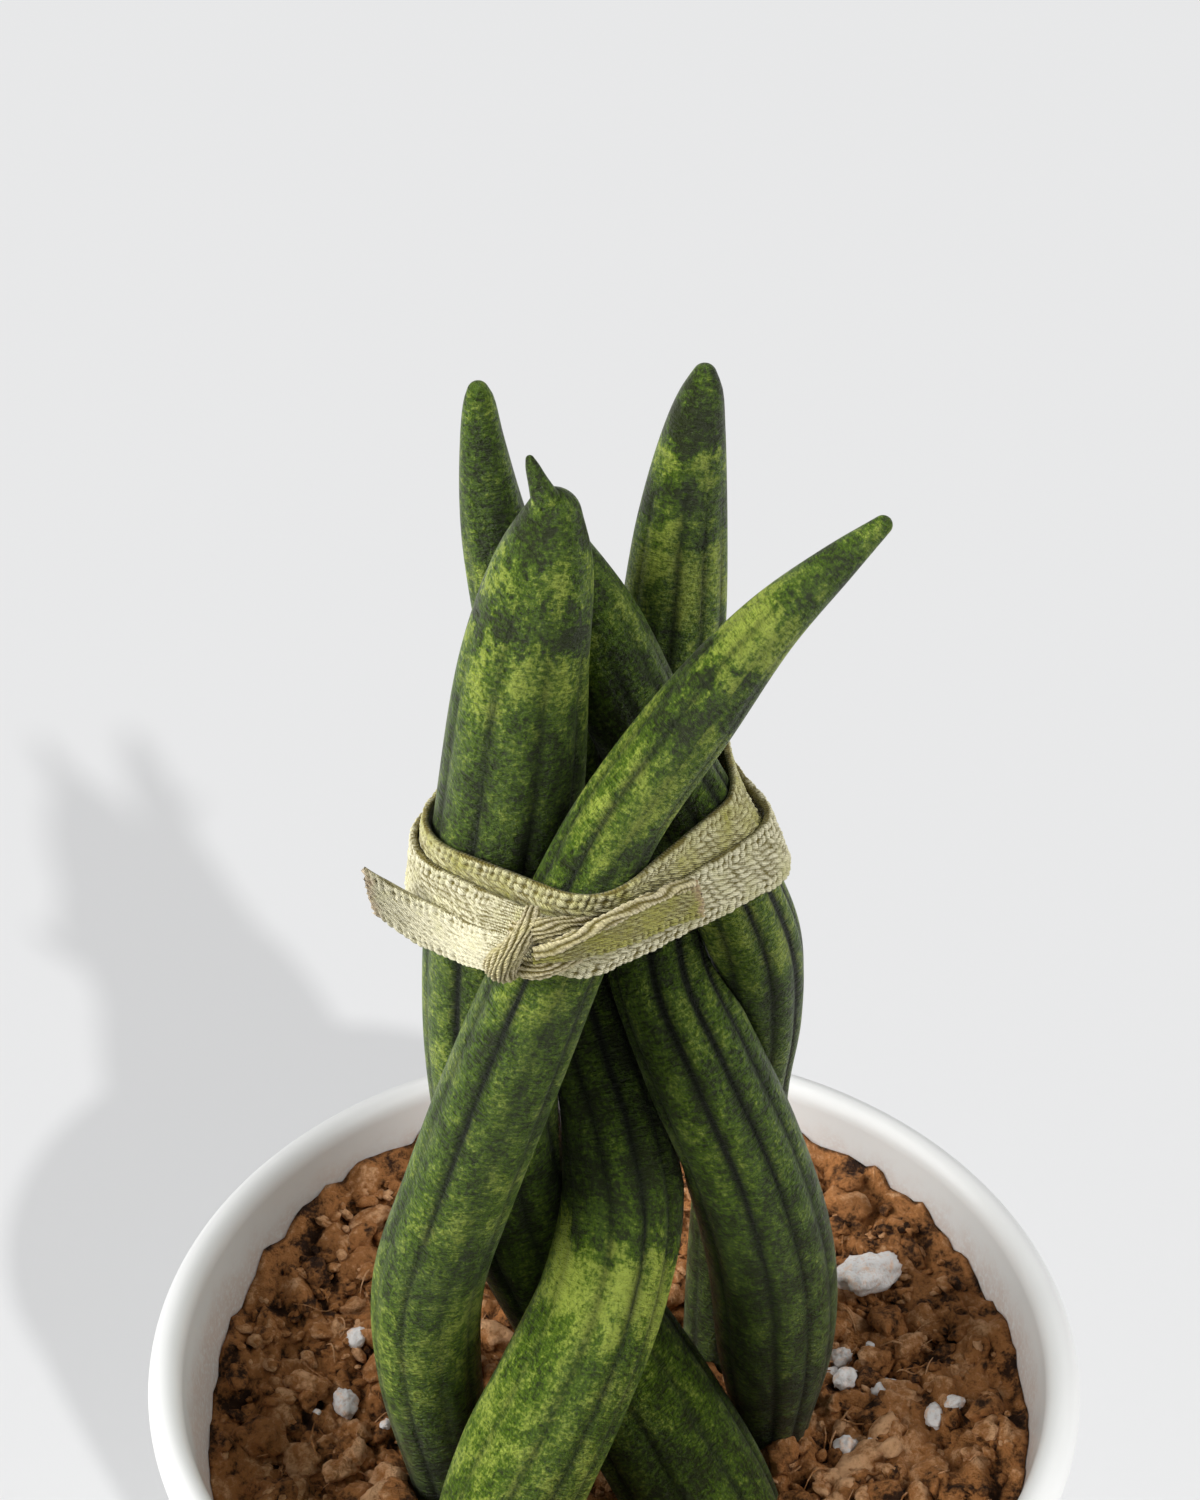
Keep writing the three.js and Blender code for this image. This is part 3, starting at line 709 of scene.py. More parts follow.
def paint_leaf(bands, length, seed):
    """Mottled green skin. Its pale crossbands have ragged edges, its flecks lie across the leaf. A
    painted sheen greys its dark bands where they are seen edge on, and painted shade darkens its
    grooves.
    """
    def paint(start):
        place = attribute(start, "leaf_place") + (17.0 * seed, 31.0 * seed, 0.0)
        ragged = place.noise((0.55, 0.55, 0.4), 5, 0.65) - 0.5
        at = (attribute(start, "band_at", "Fac") + 13 * ragged) * (1 / length)
        stops = [(min(1, from_tip / length), pale) for from_tip, pale in bands]
        band = start.node("ValToRGB", {"stops": stops}, {"Fac": at})
        blotch = place.noise((0.34, 0.34, 0.26), 4, 0.6)
        speckle = place.noise((2.2, 2.2, 1.9), 4, 0.75)
        fleck = place.noise((0.8, 0.8, 2.3), 3, 0.65)
        patch = 0.34 * (blotch.step(0.36, 0.64) - 0.5)
        level = band + patch + 1.7 * (speckle - 0.5) + 0.9 * (fleck - 0.5)
        green = level.step(-0.06, 0.36)
        pale = level.step(0.28, 0.88)
        skin = green.mix(shade("leaf_dark"), shade("leaf_green"))
        skin = pale.mix(skin, shade("leaf_pale"))
        bloom = (band * -1.0 + 1.6 * (blotch - 0.5)).step(-0.42, 0.05)
        # Painted sheen: on the dark bands the grey bloom grows strong where the skin is seen edge
        # on
        edge = start.node("LayerWeight", {}, {"Blend": 0.4}, output="Facing")
        skin = (bloom * (0.03 + 0.45 * (edge * edge))).mix(skin, shade("leaf_bloom_and_sheen"))
        # Painted shade darkens the bottom of each groove
        groove = attribute(start, "groove", "Fac") * (0.7 + 1.1 * blotch)
        skin = groove.clamp().mix(skin, shade("leaf_groove_shade"))
        return {
            "Base Color": skin,
            "Roughness": 0.24 + 0.26 * speckle,
            "Specular IOR Level": 0.22,
            "Sheen Weight": 0.04,
            "Sheen Roughness": 0.4,
            "Normal": start.bump(1.3 * fleck + 0.5 * speckle, 0.0015, 0.9),
        }
    return paint


class PLANT_OT_leaves(bpy.types.Operator):
    """Makes the five braided leaves"""

    bl_idname = "plant.leaves"
    bl_label = "Leaves"

    def execute(self, context):
        for name, leaf in LEAVES.items():
            neighbours = [line for other, line in LINES.items() if other != name]
            points, faces, layers, length = leaf_mesh(leaf, LEAF_STEP, neighbours)
            skin = material(name + "_skin", paint_leaf(leaf["bands"], length, leaf["seed"]))
            piece = add_piece(name + "_skin", points, faces, skin, layers)
            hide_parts(name)
            if name == "leaf_stout":
                points, faces, layers, _ = leaf_mesh(POINT, POINT_STEP)
                add_piece("leaf_stout_point", points, faces, skin, layers)
        return {"FINISHED"}


# Pot


def bend(start, towards, end, count):
    """Points of the curve that leaves start and reaches end, bending towards a point."""
    t = np.linspace(0, 1, count)[:, None]
    start, towards, end = np.array(start), np.array(towards), np.array(end)
    return (1 - t) ** 2 * start + 2 * t * (1 - t) * towards + t**2 * end


def pot_outline():
    """Radius and height of the pot's outline, from the middle below to the middle of its floor, and
    the number of its first point inside."""
    inner = FOOT_RADIUS - FOOT_RING
    recess = inner - FOOT_RECESS
    turn = np.radians(np.linspace(LIP_FLARE, 180, 40))
    lip = np.stack([RIM_RADIUS - LIP_WIDTH / 2 + LIP_WIDTH / 2 * np.cos(turn),
                    POT_HEIGHT - LIP_HEIGHT / 2 + LIP_HEIGHT / 2 * np.sin(turn)], 1)
    outside = np.vstack([
        [(AXIS, FOOT_RECESS), (recess - 0.4, FOOT_RECESS), (recess, FOOT_RECESS)],
        [(inner - 0.4, 0.3), (inner + 0.2, 0), (FOOT_RADIUS - 0.3, 0), (FOOT_RADIUS + 0.3, 0.2)],
        bend((FOOT_RADIUS + FOOT_CHAMFER, FOOT_CHAMFER), BELLY, NECK, 48),
        lip,
    ])
    inside = np.vstack([
        bend(lip[-1], INNER_BELLY, INNER_HEEL, 40)[1:],
        bend(INNER_HEEL, (INNER_HEEL[0] - 2, FLOOR), (FLOOR_RADIUS, FLOOR), 10)[1:],
        [(AXIS, FLOOR)],
    ])
    return np.vstack([outside, inside]), len(outside)


def paint_glaze(start):
    """White glaze, speckled brown on the inside near and below the soil line, and bare ceramic
    where the pot stands.
    """
    place = where(start)
    height = place.part(2)
    cloud = place.noise(0.035, 3, 0.5)
    white = shade("glaze")
    glaze = (0.5 * cloud.step(0.3, 0.7)).mix(white, tuple(0.965 * c for c in white))
    grit = place.noise(1.6, 3, 0.6)
    below_soil_line = (height + 7 * (place.noise(0.25, 3, 0.6) - 0.5)).step(96, 89)
    tint = attribute(start, "inside", "Fac") * below_soil_line * grit.step(0.2, 0.6)
    glaze = (0.34 * tint).mix(glaze, shade("soil_brown"))
    bare = (height + 0.5 * grit).step(1.3, 0.7)
    wave = place.noise(0.10, 2, 0.4)
    return {
        "Base Color": bare.mix(glaze, shade("bare_foot")),
        "Roughness": 0.30 + 0.10 * cloud + 0.45 * bare,
        "Coat Weight": 0.12 - 0.12 * bare,
        "Coat Roughness": 0.15,
        "Normal": start.bump(wave + 0.25 * bare * grit, 0.0004, 0.35),
    }


class PLANT_OT_pot(bpy.types.Operator):
    """Makes the glazed pot"""

    bl_idname = "plant.pot"
    bl_label = "Pot"

    def execute(self, context):
        outline, first_inside = pot_outline()
        turn = circle(POT_SIDES)
        points = np.stack([outline[:, :1] * np.cos(turn), outline[:, :1] * np.sin(turn),
                           outline[:, 1:] * np.ones_like(turn)], -1).reshape(-1, 3)
        faces = tube_faces(len(outline), POT_SIDES)
        inside = np.repeat(np.arange(len(outline)) >= first_inside, POT_SIDES)
        finish = material("pot_glaze", paint_glaze)
        piece = add_piece("glazed_pot", points, faces, finish,
                          {"inside": inside}, SHARP_EDGE)
        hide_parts("pot")
        return {"FINISHED"}


# Soil


def wall_radius(height):
    """The pot's inside radius at a height."""
    lip = (RIM_RADIUS - LIP_WIDTH, POT_HEIGHT - LIP_HEIGHT / 2)
    inner = bend(lip, INNER_BELLY, INNER_HEEL, 200)
    return np.interp(height, inner[::-1, 1], inner[::-1, 0])


WALL = float(wall_radius(SOIL_AT_WALL))


def soil_height(x, y):
    share = np.hypot(x, y) / WALL
    turn = np.arctan2(y, x) - DIP_ANGLE
    turn = np.arctan2(np.sin(turn), np.cos(turn))
    dip = DIP_DEPTH * np.exp(-((turn / DIP_WIDTH) ** 2)) * share**2
    rise = (SOIL_AT_WALL - SOIL_CENTRE) * share**2 + BACK_RISE * share * np.maximum(0, y) / WALL
    bumps = (np.sin(0.43 * x + 1.3) * np.cos(0.39 * y - 0.6)
             + 0.7 * np.sin(0.91 * x - 0.55 * y) * np.cos(0.74 * y + 0.35 * x + 2))
    return SOIL_CENTRE + rise - dip + SOIL_RELIEF * bumps


def hump(x, y):
    """Small humps of the soil at a place, from about -1 to 1."""
    place = Vector((0.33 * x, 0.33 * y, 4.2))
    return noise.fractal(place, 0.7, 2.1, 4, noise_basis="PERLIN_ORIGINAL")


def paint_soil(start):
    """Damp coir and peat: reddish brown with tan bark; painted shade darkens the hollows and
    painted light pales the tops of the humps.
    """
    place = where(start)
    tone = attribute(start, "tone", "Fac")
    patch = place.noise(0.16, 3, 0.6)
    grain = place.noise(1.3, 5, 0.72)
    # The tone layer brings painted shade to hollows and dents and painted light to hump tops and
    # bulges
    level = tone + 1.6 * (patch - 0.5) + 1.5 * (grain - 0.5)
    brown = level.step(-0.12, 0.42).mix(shade("soil_dark_and_shade"), shade("soil_brown"))
    brown = level.step(0.42, 0.98).mix(brown, shade("soil_tan"))
    return {
        "Base Color": brown,
        "Roughness": 0.72 - 0.2 * grain,
        "Specular IOR Level": 0.2,
        "Normal": start.bump(grain, 0.0012, 1.0),
    }


def paint_perlite(start):
    """Chalky white foam of expanded volcanic glass."""
    place = where(start)
    pores = place.noise(1.9, 4, 0.65)
    tint = place.noise(0.7, 3, 0.6)
    white = (0.6 * tint.step(0.48, 0.75)).mix(shade("perlite"), shade("soil_tan"))
    return {
        "Base Color": (0.35 * pores.step(0.5, 0.3)).mix(white, shade("soil_brown")),
        "Roughness": 0.8 + 0.15 * pores,
        "Normal": start.bump(pores, 0.0004, 0.6),
    }


def icosphere(fineness):
    made = bmesh.new()
    bmesh.ops.create_icosphere(made, subdivisions=fineness, radius=1)
    points = np.array([v.co for v in made.verts])
    faces = np.array([[v.index for v in f.verts] for f in made.faces])
    made.free()
    return points, faces


def clear_of_leaves(x, y, size):
    place = np.array([x, y, soil_height(x, y)])
    return all((np.linalg.norm(line[:, :3] - place, axis=1) - line[:, 3]).min() > size
               for line in LINES.values())


def lumps(grains, fineness, dice, ragged):
    """Many small stones as one mesh: its points, faces and tones. A grain is its place, its three
    half sizes, its turn and its tone."""
    shape, corners = icosphere(fineness)
    points, faces, tones = [], [], []
    for k, (place, sizes, turn, tone) in enumerate(grains):
        shift = Vector([dice.uniform(-90, 90) for _ in range(3)])
        rough = np.array([noise.fractal(1.3 * Vector(p) + shift, 0.8, 2.2, 3) for p in shape])
        tilt = dice.uniform(-0.5, 0.5)
        x, y, z = (shape * (1 + ragged * rough)[:, None] * sizes).T
        x, z = x * math.cos(tilt) - z * math.sin(tilt), x * math.sin(tilt) + z * math.cos(tilt)
        c, s = math.cos(turn), math.sin(turn)
        points.append(np.stack([c * x - s * y, s * x + c * y, z], 1) + place)
        faces.append(corners + k * len(shape))
        # Painted shade and light: a crumb's dents get a darker tone, its bulges a paler one
        tones.append(tone + 0.35 * rough)
    return np.vstack(points), np.vstack(faces).tolist(), np.concatenate(tones)


def strewn(dice, count, reach, smallest, largest, power, margin):
    """Places and sizes for grains strewn over the soil by chance, clear of the leaves."""
    found = []
    while len(found) < count:
        radius, angle = reach * math.sqrt(dice.random()), math.tau * dice.random()
        size = smallest + (largest - smallest) * dice.random() ** power
        x, y = radius * math.cos(angle), radius * math.sin(angle)
        if clear_of_leaves(x, y, margin * size):
            found.append((x, y, size))
    return found


class PLANT_OT_soil(bpy.types.Operator):
    """Makes the soil that fills the pot"""

    bl_idname = "plant.soil"
    bl_label = "Soil"

    def execute(self, context):
        relief = context.scene.plant_sizes.soil_humps / MM
        angle = circle(SOIL_SIDES)
        points, tones = [], []
        for height in BURIED_RINGS:
            radius = FLOOR_RADIUS - 1 if height < INNER_HEEL[1] else wall_radius(height) - 0.5
            points.append(np.stack([radius * np.cos(angle), radius * np.sin(angle),
                                    np.full(SOIL_SIDES, height)], 1))
            tones.append(np.full(SOIL_SIDES, 0.2))
        edge = wall_radius(soil_height(WALL * np.cos(angle), WALL * np.sin(angle))) - 0.15
        for k in range(SOIL_RINGS, 0, -1):
            radius = edge * k / SOIL_RINGS
            x, y = radius * np.cos(angle), radius * np.sin(angle)
            rough = np.array([hump(*at) for at in zip(x, y)])
            settle = 1 - 0.5 * (k / SOIL_RINGS) ** 12
            points.append(np.stack([x, y, soil_height(x, y) + relief * settle * rough], 1))
            # Painted shade and light: the tone follows the humps, darker in the hollows and paler
            # on the tops
            tones.append(0.3 + 0.55 * rough)
        # The surface closes on a middle point, where the tube would have a flat end
        rings = len(points)
        faces = tube_faces(rings, SOIL_SIDES)[:-1]
        faces += fan_faces(rings * SOIL_SIDES, (rings - 1) * SOIL_SIDES, SOIL_SIDES)
        points = np.vstack([*points, [(0, 0, soil_height(0, 0))]])
        tones = np.concatenate([*tones, [0.3]])
        finish = material("coir_soil", paint_soil)
        piece = add_piece("potting_soil", points, faces, finish, {"tone": tones})
        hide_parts("soil")
        return {"FINISHED"}


class PLANT_OT_grains(bpy.types.Operator):
    """Strews crumbs, perlite and coir fibres over the soil"""

    bl_idname = "plant.grains"
    bl_label = "Crumbs and grains"

    def execute(self, context):
        dice = random.Random(11)
        finish = material("crumb_soil", paint_soil)
        for name, (fineness, count, *chance) in CRUMBS.items():
            grains = []
            for x, y, size in strewn(dice, count, CRUMB_REACH, *chance, margin=0.1):
                flat = 0.45 + 0.45 * dice.random()
                long = 1 + 0.6 * dice.random()
                z = soil_height(x, y) + size * (0.25 * dice.random() - 0.05)
                tone = 0.1 + 0.7 * dice.random() ** 1.3
                sizes = (size * long, size * 0.85, size * flat)
                # Crumbs keep clear of the pot
                if wall_radius(z) - math.hypot(x, y) - 1.2 * max(sizes) > 0.1:
                    grains.append(((x, y, z), sizes, math.tau * dice.random(), tone))
            points, faces, tones = lumps(grains, fineness, dice, CRUMB_RAGGED)
            add_piece(name, points, faces, finish, {"tone": tones})

        white = material("perlite", paint_perlite)
        grains = [((x, y, soil_height(x, y) + 0.6 * width), (length, width, 0.85 * width),
                   math.radians(turn), 1.0) for x, y, length, width, turn in PERLITE]
        for x, y, size in strewn(dice, LOOSE_PERLITE, PERLITE_REACH,
                                 smallest=0.4, largest=1.1, power=1.6, margin=0.5):
            place, sizes = (x, y, soil_height(x, y) + 0.5 * size), (size * 1.2, size, size * 0.8)
            grains.append((place, sizes, 6.3 * dice.random(), 1.0))
        points, faces, _ = lumps(grains, PERLITE_FINENESS, dice, PERLITE_RAGGED)
        add_piece("perlite_grains", points, faces, white)

        points, faces, tones = fibres(dice)
        add_piece("coir_fibres", points, faces, finish, {"tone": tones})
        return {"FINISHED"}


def fibres(dice):
    """Loose coir fibres: thin bent threads that lie on the soil."""
    points, faces, tones = [], [], []
    around = circle(FIBRE_SIDES)[:, None]
    for x, y, length in strewn(dice, FIBRES, FIBRE_REACH,
                               smallest=3, largest=9, power=1.0, margin=0.35):
        heading, curl = math.tau * dice.random(), 2.4 * (dice.random() - 0.5)
        thick, lift = 0.08 + 0.12 * dice.random(), 0.5 + 0.8 * dice.random()
        tone = 0.4 + 0.5 * dice.random()
        faces += tube_faces(FIBRE_RINGS, FIBRE_SIDES, first=len(points) * FIBRE_SIDES)
        for t in np.linspace(0, 1, FIBRE_RINGS):
            way = heading + curl * t
            place = np.array([x, y, 0]) + length * t * np.array([math.cos(way), math.sin(way), 0])
            place[2] = soil_height(place[0], place[1]) + lift + 0.5 * math.sin(5 * t + heading)
            out = np.array([-math.sin(way), math.cos(way), 0])
            width = thick * (1 - 0.6 * abs(2 * t - 1) ** 3)
            points.append(place + width * (out * np.cos(around) + UP * np.sin(around)))
        tones.append(np.full(FIBRE_SIDES * FIBRE_RINGS, tone))
    return np.vstack(points), faces, np.concatenate(tones)


# Ribbon


def woven(s, t, width, length, closed):
    """Relief of the tape from 0 to 1 at s along it and t across it: rows of slanted stitches
    between edges of paired beads."""
    sway = 0.16 * np.sin(math.tau * s / 9.7) + 0.1 * np.sin(math.tau * s / 3.4 + 0.8 * t)
    across = np.clip((t / width + 0.5) * ROWS + sway, 0, ROWS - 1e-6)
    row = np.floor(across)
    local = 2 * (across - row) - 1
    ridge = np.sqrt(np.maximum(0, 1 - local**2))
    stitches, pairs = length / STITCH, length / BEADS
    if closed:
        stitches, pairs = round(stitches), round(pairs)
    phase = s / length * stitches + 0.5 * (row % 2) + 0.55 * local + 0.12 * np.sin(1.7 * s + row)
    # No two stitches are pulled equally tight
    tight = np.sin(12.9898 * (np.floor(phase) % max(1, round(stitches))) + 78.233 * row) * 43.7585
    tight = 0.55 + 0.45 * (tight - np.floor(tight))
    stitch = 1 - np.abs(2 * (phase % 1) - 1) ** 2.2
    inner = ridge**0.7 * (0.2 + 0.75 * stitch * tight)
    pair = (s / length * pairs + 0.1 * np.sin(0.9 * s) + 0.06 * np.sin(2.3 * s)) % 1
    bead = 0.05 + 1.05 * np.abs(np.sin(math.tau * pair + 0.4 * local)) ** 0.6
    from_edge = np.minimum(across, ROWS - across)
    hole = np.exp(-(((from_edge - 1) / 0.34) ** 2) - (np.minimum(pair, 1 - pair) / 0.16) ** 2)
    beads = ridge**0.6 * bead * (0.35 + 0.65 * tight) * (1 - hole)
    return np.where(from_edge < 2, beads, inner)


def gathered(s, t):
    """Relief of tape that is pulled into strands: fine ridges along it."""
    strand = t / STRAND + 0.35 * np.sin(s / 1.9) + 0.18 * np.sin(s / 0.8 + 5 * t)
    ridge = np.abs(np.cos(math.pi * strand))
    twist = 0.5 + 0.5 * np.sin(math.tau * (s / 0.9 + strand))
    return 0.02 + 0.55 * ridge**1.5 + 0.3 * ridge * twist


def tape_piece(name, middle, widths, finish, closed, strands=0.0, frayed=False):
    """A tape from the points of its middle surface, which run along it and then across it. It shows
    its weave, or strands where strands is 1."""
    sizes = bpy.context.scene.plant_sizes
    thick, relief = sizes.ribbon_thickness / MM, sizes.stitch_relief / MM
    rows, columns, _ = middle.shape
    centre = middle[:, columns // 2]
    ahead = np.roll(centre, -1, 0) if closed else np.vstack([centre[1:], centre[-1:]])
    pace = np.linalg.norm(ahead - centre, axis=1)
    along = np.concatenate([[0], np.cumsum(pace)])[:rows]
    length = pace.sum()
    if closed:
        forward = np.roll(middle, -1, 0) - np.roll(middle, 1, 0)
    else:
        forward = np.gradient(middle, axis=0)
    normal = unit(np.cross(forward, np.gradient(middle, axis=1)))
    s = along[:, None] * np.ones(columns)
    t = np.linspace(-0.5, 0.5, columns) * widths[:, None]
    strands = np.broadcast_to(np.asarray(strands, float).reshape(-1, 1), (rows, 1))
    height = (1 - strands) * woven(s, t, widths[:, None], length, closed) + strands * gathered(s, t)
    back = np.unique(np.linspace(0, columns - 1, BACK_COLUMNS).round().astype(int))[::-1]
    outside = middle + normal * (thick / 2 + relief * height)[..., None]
    inside = (middle - normal * (thick / 2))[:, back]
    ring = np.concatenate([outside, inside], 1)
    layer = np.concatenate([height, np.full(inside.shape[:2], BACK_RELIEF)], 1)
    from_end = length - along if frayed else np.full(rows, NO_END)
    spread = np.concatenate([t, t[:, back]], 1)
    place = np.stack([np.repeat(along[:, None], ring.shape[1], 1), spread,
                      np.repeat(from_end[:, None], ring.shape[1], 1)], -1)
    if frayed:
        ragged = 0.22 * np.sin(7.3 * t[-1] + 1) + 0.16 * np.sin(17 * t[-1])
        push = unit(forward[-1]) * ragged[:, None]
        ring[-1, :columns] += push
        ring[-1, columns:] += push[back]
    count = ring.shape[1]
    faces = grid_faces(rows, count, closed_rows=closed, closed_columns=True)
    if not closed:
        # Each end is closed between the front and the nearest of the back's columns
        for row in (0, rows - 1):
            first = row * count
            back_at = {c: first + columns + k for k, c in enumerate(back)}
            stops = sorted(back)
            for a, b in zip(stops, stops[1:]):
                faces.append((*(first + c for c in range(a, b + 1)), back_at[b], back_at[a]))
    return add_piece(name, ring.reshape(-1, 3), faces, finish,
                     {"tape_place": place.reshape(-1, 3), "relief": layer.ravel()})


# Centres and radii along all the leaves, close enough together for a taut ribbon to lie on
CLOUD = np.vstack([smooth_line(leaf["stations"], 0.25)[0] for leaf in LEAVES.values()])


def taut_loop(height_of, offset):
    """The line that one row of the taut ribbon takes round all the leaves, from the front."""
    touches = []
    for angle in np.radians(np.arange(0, 360, 0.5) - 90):
        height = height_of(angle)
        outward = np.array([math.cos(angle), math.sin(angle)])
        spread = np.sqrt(np.maximum(0, CLOUD[:, 3] ** 2 - (CLOUD[:, 2] - height) ** 2))
        reach = np.where(spread > 0, CLOUD[:, :2] @ outward + spread, -1e9)
        k = int(np.argmax(reach))
        touches.append((*(CLOUD[k, :2] + (spread[k] + offset) * outward), height))
    line, length = spaced(np.array(touches + touches[:1]), count=TURN_STEPS)
    # Cloth rounds off what would be sharp corners
    reach = max(1, round(1.1 / (length / TURN_STEPS)))
    window = range(-reach, reach + 1)
    return sum(np.roll(line, k, 0) for k in window) / len(window)


def outer_height(angle):
    return RIBBON_FRONT - OUTER_DROP - RIBBON_BACK_DROP * max(0, math.sin(angle)) ** 4


def inner_height(angle):
    return outer_height(angle) + OUTER_DROP + RIBBON_RIGHT_RISE * max(0, math.cos(angle)) ** 2


def turn_surface(height_of, offset, width):
    """Middle surface of one turn of the ribbon: its points along the loop and across its width."""
    shares = np.linspace(-0.5, 0.5, TURN_ROWS)
    coarse = np.stack([
        taut_loop(lambda angle, share=share: height_of(angle) + share * width, offset)
        for share in shares
    ], 1)
    fine = np.linspace(-0.5, 0.5, TURN_COLUMNS)
    surface = np.empty((TURN_STEPS, TURN_COLUMNS, 3))
    for k, axis in np.ndindex(TURN_STEPS, 3):
        surface[k, :, axis] = np.interp(fine, shares, coarse[k, :, axis])
    return surface


def near(surface, place, width):
    """How near each step along the tape is to a place, seen from above, from 0 to 1."""
    centre = surface[:, surface.shape[1] // 2]
    distance = np.hypot(centre[:, 0] - place[0], centre[:, 1] - place[1])
    return np.exp(-((distance / width) ** 2))


def reshape_turn(surface, lift, gather, proud, slack):
    """Lifts, narrows and pushes out a turn near the knot, and lets it stand off on the right and
    low on the left."""
    knot, low_left = near(surface, KNOT, 6.5)[:, None], near(surface, LOW_LEFT, 5)[:, None]
    middle = surface[:, surface.shape[1] // 2]
    ahead = unit(np.roll(middle, -1, 0)[:, :2] - np.roll(middle, 1, 0)[:, :2])
    outward = np.stack([ahead[:, 1], -ahead[:, 0]], 1)
    facing = np.arctan2(outward[:, 1], outward[:, 0])[:, None]
    share = np.linspace(-0.5, 0.5, surface.shape[1])[None]
    tall = surface[..., 2] - middle[:, None, 2]
    surface[..., 2] = middle[:, None, 2] + tall * (1 - gather * knot) + lift * knot
    right = np.exp(-(((facing - 0.1) / 0.6) ** 2))
    push = proud * knot + slack * right * (0.5 + share) + 0.9 * proud * low_left * (0.5 - share)
    push = push + 0.22 * np.sin(np.arange(len(middle)) / 23)[:, None] * share
    surface[..., :2] += push[..., None] * outward[:, None]
    return surface


def tape_surface(stations, across_x):
    """Middle surface of a free piece of tape that follows its stations, and its widths."""
    line, _ = smooth_line(stations, TAPE_STEP)
    centres, widths = line[:, :3], line[:, 3]
    lean, gutter = np.radians(line[:, 4:5]), np.radians(line[:, 5:])
    along = unit(np.gradient(centres, axis=0))
    if across_x:
        across = np.tile([1.0, 0, 0], (len(line), 1))
    else:
        across = UP * np.cos(lean) + unit(along * (1, 1, 0)) * np.sin(lean)
    out = unit(np.cross(along, across))
    if out[:, 1].sum() > 0:
        across, out = -across, -out
    t = np.linspace(-0.5, 0.5, TAPE_COLUMNS)
    bow = np.maximum(gutter, 0.02)
    radius = widths[:, None] / bow
    sideways = (radius * np.sin(t * bow))[..., None] * across[:, None]
    behind = (radius * (1 - np.cos(t * bow)))[..., None] * out[:, None]
    return centres[:, None] + sideways - behind, widths


def paint_ribbon(shaded, stained, painted_light):
    """Cream tape with twisted yarns on its stitches: painted shade darkens it between the stitches
    and along the yarns, and it is stained towards the cut ends.
    Painted shade may turn it olive, it may be stained all over, and painted light may lift it, each
    from 0 to 1."""
    def paint(start):
        place = attribute(start, "tape_place")
        relief = attribute(start, "relief", "Fac")
        along, across, from_end = (place.part(k) for k in range(3))
        world = where(start)
        cloud = world.noise(0.32, 3, 0.6)
        fuzz = world.noise(4.2, 4, 0.7)
        twist = (along * 2.2 + across * 5.0) * math.tau
        yarn = 0.5 + 0.5 * twist.node("Math", {"operation": "SINE"}, {0: twist})
        # Painted shade: the cloth darkens to olive where its relief is low, between the stitches;
        # painted light lifts a whole piece
        light = painted_light + relief + 0.9 * (cloud - 0.5) + 1.3 * (fuzz - 0.5)
        # Painted shade: pieces that lie in shade turn olive, in patches
        cream = (shaded + 2.0 * (cloud - 0.5)).clamp().mix(shade("ribbon"), shade("ribbon_shaded_olive"))
        cloth = light.step(0.06, 0.82).mix(shade("ribbon_shade"), cream)
        # Painted shade along the twists of the yarns
        cloth = (0.14 * yarn).mix(cloth, shade("ribbon_shade"))
        stain = (from_end + 4.0 * (cloud - 0.5)).step(1.6, 0.2)
        stain = (stain + stained * relief).clamp()
        cloth = (0.5 * stain).mix(cloth, shade("ribbon_stain"))
        return {
            "Base Color": cloth,
            "Roughness": 0.5 + 0.3 * fuzz,
            "Specular IOR Level": 0.3,
            "Sheen Weight": 0.12,
            "Sheen Roughness": 0.4,
            "Normal": start.bump(0.6 * yarn + 1.0 * fuzz, 0.0002, 0.9),
        }
    return paint


class PLANT_OT_ribbon(bpy.types.Operator):
    """Makes the ribbon: two turns, the knot and two free ends"""

    bl_idname = "plant.ribbon"
    bl_label = "Ribbon"

    def execute(self, context):
        sizes = context.scene.plant_sizes
        width, thick = sizes.ribbon_width / MM, sizes.ribbon_thickness / MM
        finishes = {name: material(name, paint_ribbon(*tape_finish)) for name, tape_finish in TAPE_FINISHES.items()}
        widths = np.full(TURN_STEPS, width)
        inner = turn_surface(inner_height, CLEARANCE + thick / 2, width)
        tape_piece("ribbon_inner_turn", inner, widths, finishes["used_ribbon"], closed=True)
        outer = turn_surface(outer_height, CLEARANCE + 1.5 * thick + TURN_GAP, width)
        outer = reshape_turn(outer, lift=2.1, gather=0.32, proud=0.8, slack=0.7)
        strands, finish = near(outer, KNOT, 5.5), finishes["woven_ribbon"]
        piece = tape_piece("ribbon_outer_turn", outer, widths, finish, True, strands)
        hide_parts("ribbon")
        for name, stations in TAPES.items():
            surface, widths = tape_surface(stations, across_x="strap" in name)
            tail = name in TAIL_FINISH
            finish = finishes[TAIL_FINISH[name] if tail else "pulled_ribbon"]
            strands = np.exp(-np.linspace(0, 4, len(widths))) if tail else 1.0
            tape_piece(name, surface, widths, finish, False, strands, frayed=tail)
        return {"FINISHED"}


# Stage


def far_light(name, towards, spread, power, lit):
    """A large soft light far away, as wide as its spread in degrees. It lights only some pieces."""
    light = bpy.data.lights.new(name, "SUN")
    light.angle, light.energy = math.radians(spread), power
    lamp = bpy.data.objects.new(name, light)
    lamp.location = towards
    lamp.rotation_euler = Vector(towards).to_track_quat("Z", "Y").to_euler()
    bpy.context.scene.collection.objects.link(lamp)
    pieces = bpy.data.collections.new("lit_by_" + name)
    for piece in lit:
        pieces.objects.link(piece)
    lamp.light_linking.receiver_collection = pieces


def paint_floor(start):
    cloud = where(start).noise(0.006, 3, 0.5)
    pale = shade("floor")
    return {
        "Base Color": (0.4 * cloud).mix(pale, tuple(0.985 * c for c in pale)),
        "Roughness": 0.9,
        "Specular IOR Level": 0.1,
    }


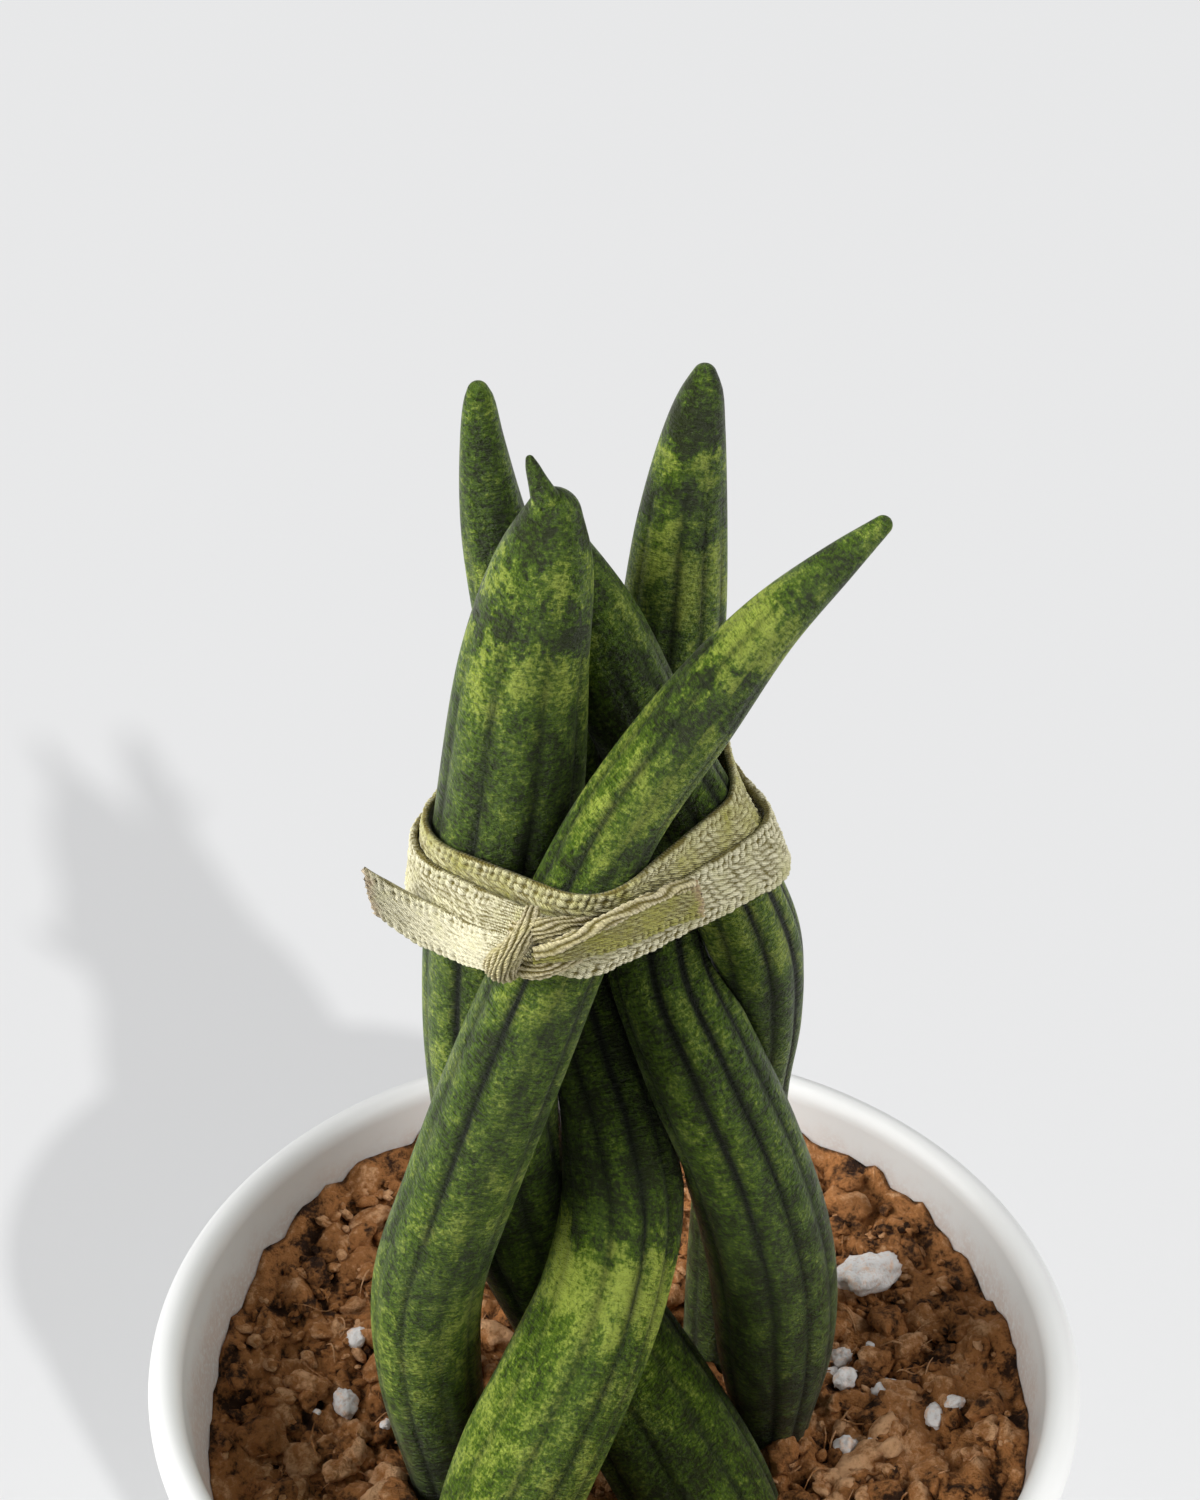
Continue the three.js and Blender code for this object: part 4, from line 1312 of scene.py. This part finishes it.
class PLANT_OT_stage(bpy.types.Operator):
    """Makes the pale floor, the soft lights and the camera"""

    bl_idname = "plant.stage"
    bl_label = "Stage"

    def execute(self, context):
        scene = context.scene
        scene.view_settings.view_transform = "Standard"
        mesh = bpy.data.meshes.new("floor")
        far = FLOOR_REACH
        corners = [(-far, -far, 0), (far, -far, 0), (far, far, 0), (-far, far, 0)]
        mesh.from_pydata(corners, [], [(0, 1, 2, 3)])
        mesh.materials.append(material("pale_floor", paint_floor))
        floor = bpy.data.objects.new("floor", mesh)
        scene.collection.objects.link(floor)

        world = bpy.data.worlds.new("soft_sky")
        world.use_nodes = True
        sky = world.node_tree.nodes["Background"].inputs
        sky["Color"].default_value = SKY
        sky["Strength"].default_value = SKY_POWER
        scene.world = world
        pot = scene.objects["glazed_pot"]
        plant = [piece for piece in scene.objects
                 if piece.type == "MESH" and piece not in (floor, pot)]
        pieces = {"plant": plant, "pot": [pot], "floor": [floor]}
        for name, (towards, spread, power, lit) in LIGHTS.items():
            far_light(name, towards, spread, power, pieces[lit])

        camera = bpy.data.objects.new("camera", bpy.data.cameras.new("camera"))
        camera.data.lens = LENS
        camera.data.sensor_width = SENSOR
        camera.data.clip_start = 0.01
        camera.location = CAMERA_PLACE
        camera.rotation_euler = (math.radians(90 - CAMERA_DOWN), 0, 0)
        scene.collection.objects.link(camera)
        scene.camera = camera
        return {"FINISHED"}


class PLANT_PT_panel(bpy.types.Panel):
    """Lists the plant's sizes, colours and pieces in the sidebar"""

    bl_label = "Braided snake plant"
    bl_idname = "PLANT_PT_panel"
    bl_space_type = "VIEW_3D"
    bl_region_type = "UI"
    bl_category = "Plant"

    def draw(self, context):
        for group in (context.scene.plant_sizes, context.scene.plant_colours):
            for name in group.__annotations__:
                self.layout.prop(group, name)
        for operator in OPERATORS:
            self.layout.operator(operator.bl_idname)


OPERATORS = (
    PLANT_OT_pot,
    PLANT_OT_soil,
    PLANT_OT_grains,
    PLANT_OT_leaves,
    PLANT_OT_ribbon,
    PLANT_OT_stage,
)
CLASSES = (PlantSizes, PlantColours, *OPERATORS, PLANT_PT_panel)


def register():
    for made in CLASSES:
        bpy.utils.register_class(made)
    bpy.types.Scene.plant_sizes = bpy.props.PointerProperty(type=PlantSizes)
    bpy.types.Scene.plant_colours = bpy.props.PointerProperty(type=PlantColours)


def unregister():
    del bpy.types.Scene.plant_colours
    del bpy.types.Scene.plant_sizes
    for made in reversed(CLASSES):
        bpy.utils.unregister_class(made)


def main():
    register()
    for operator in OPERATORS:
        group, name = operator.bl_idname.split(".")
        getattr(getattr(bpy.ops, group), name)()


if __name__ == "__main__":
    main()
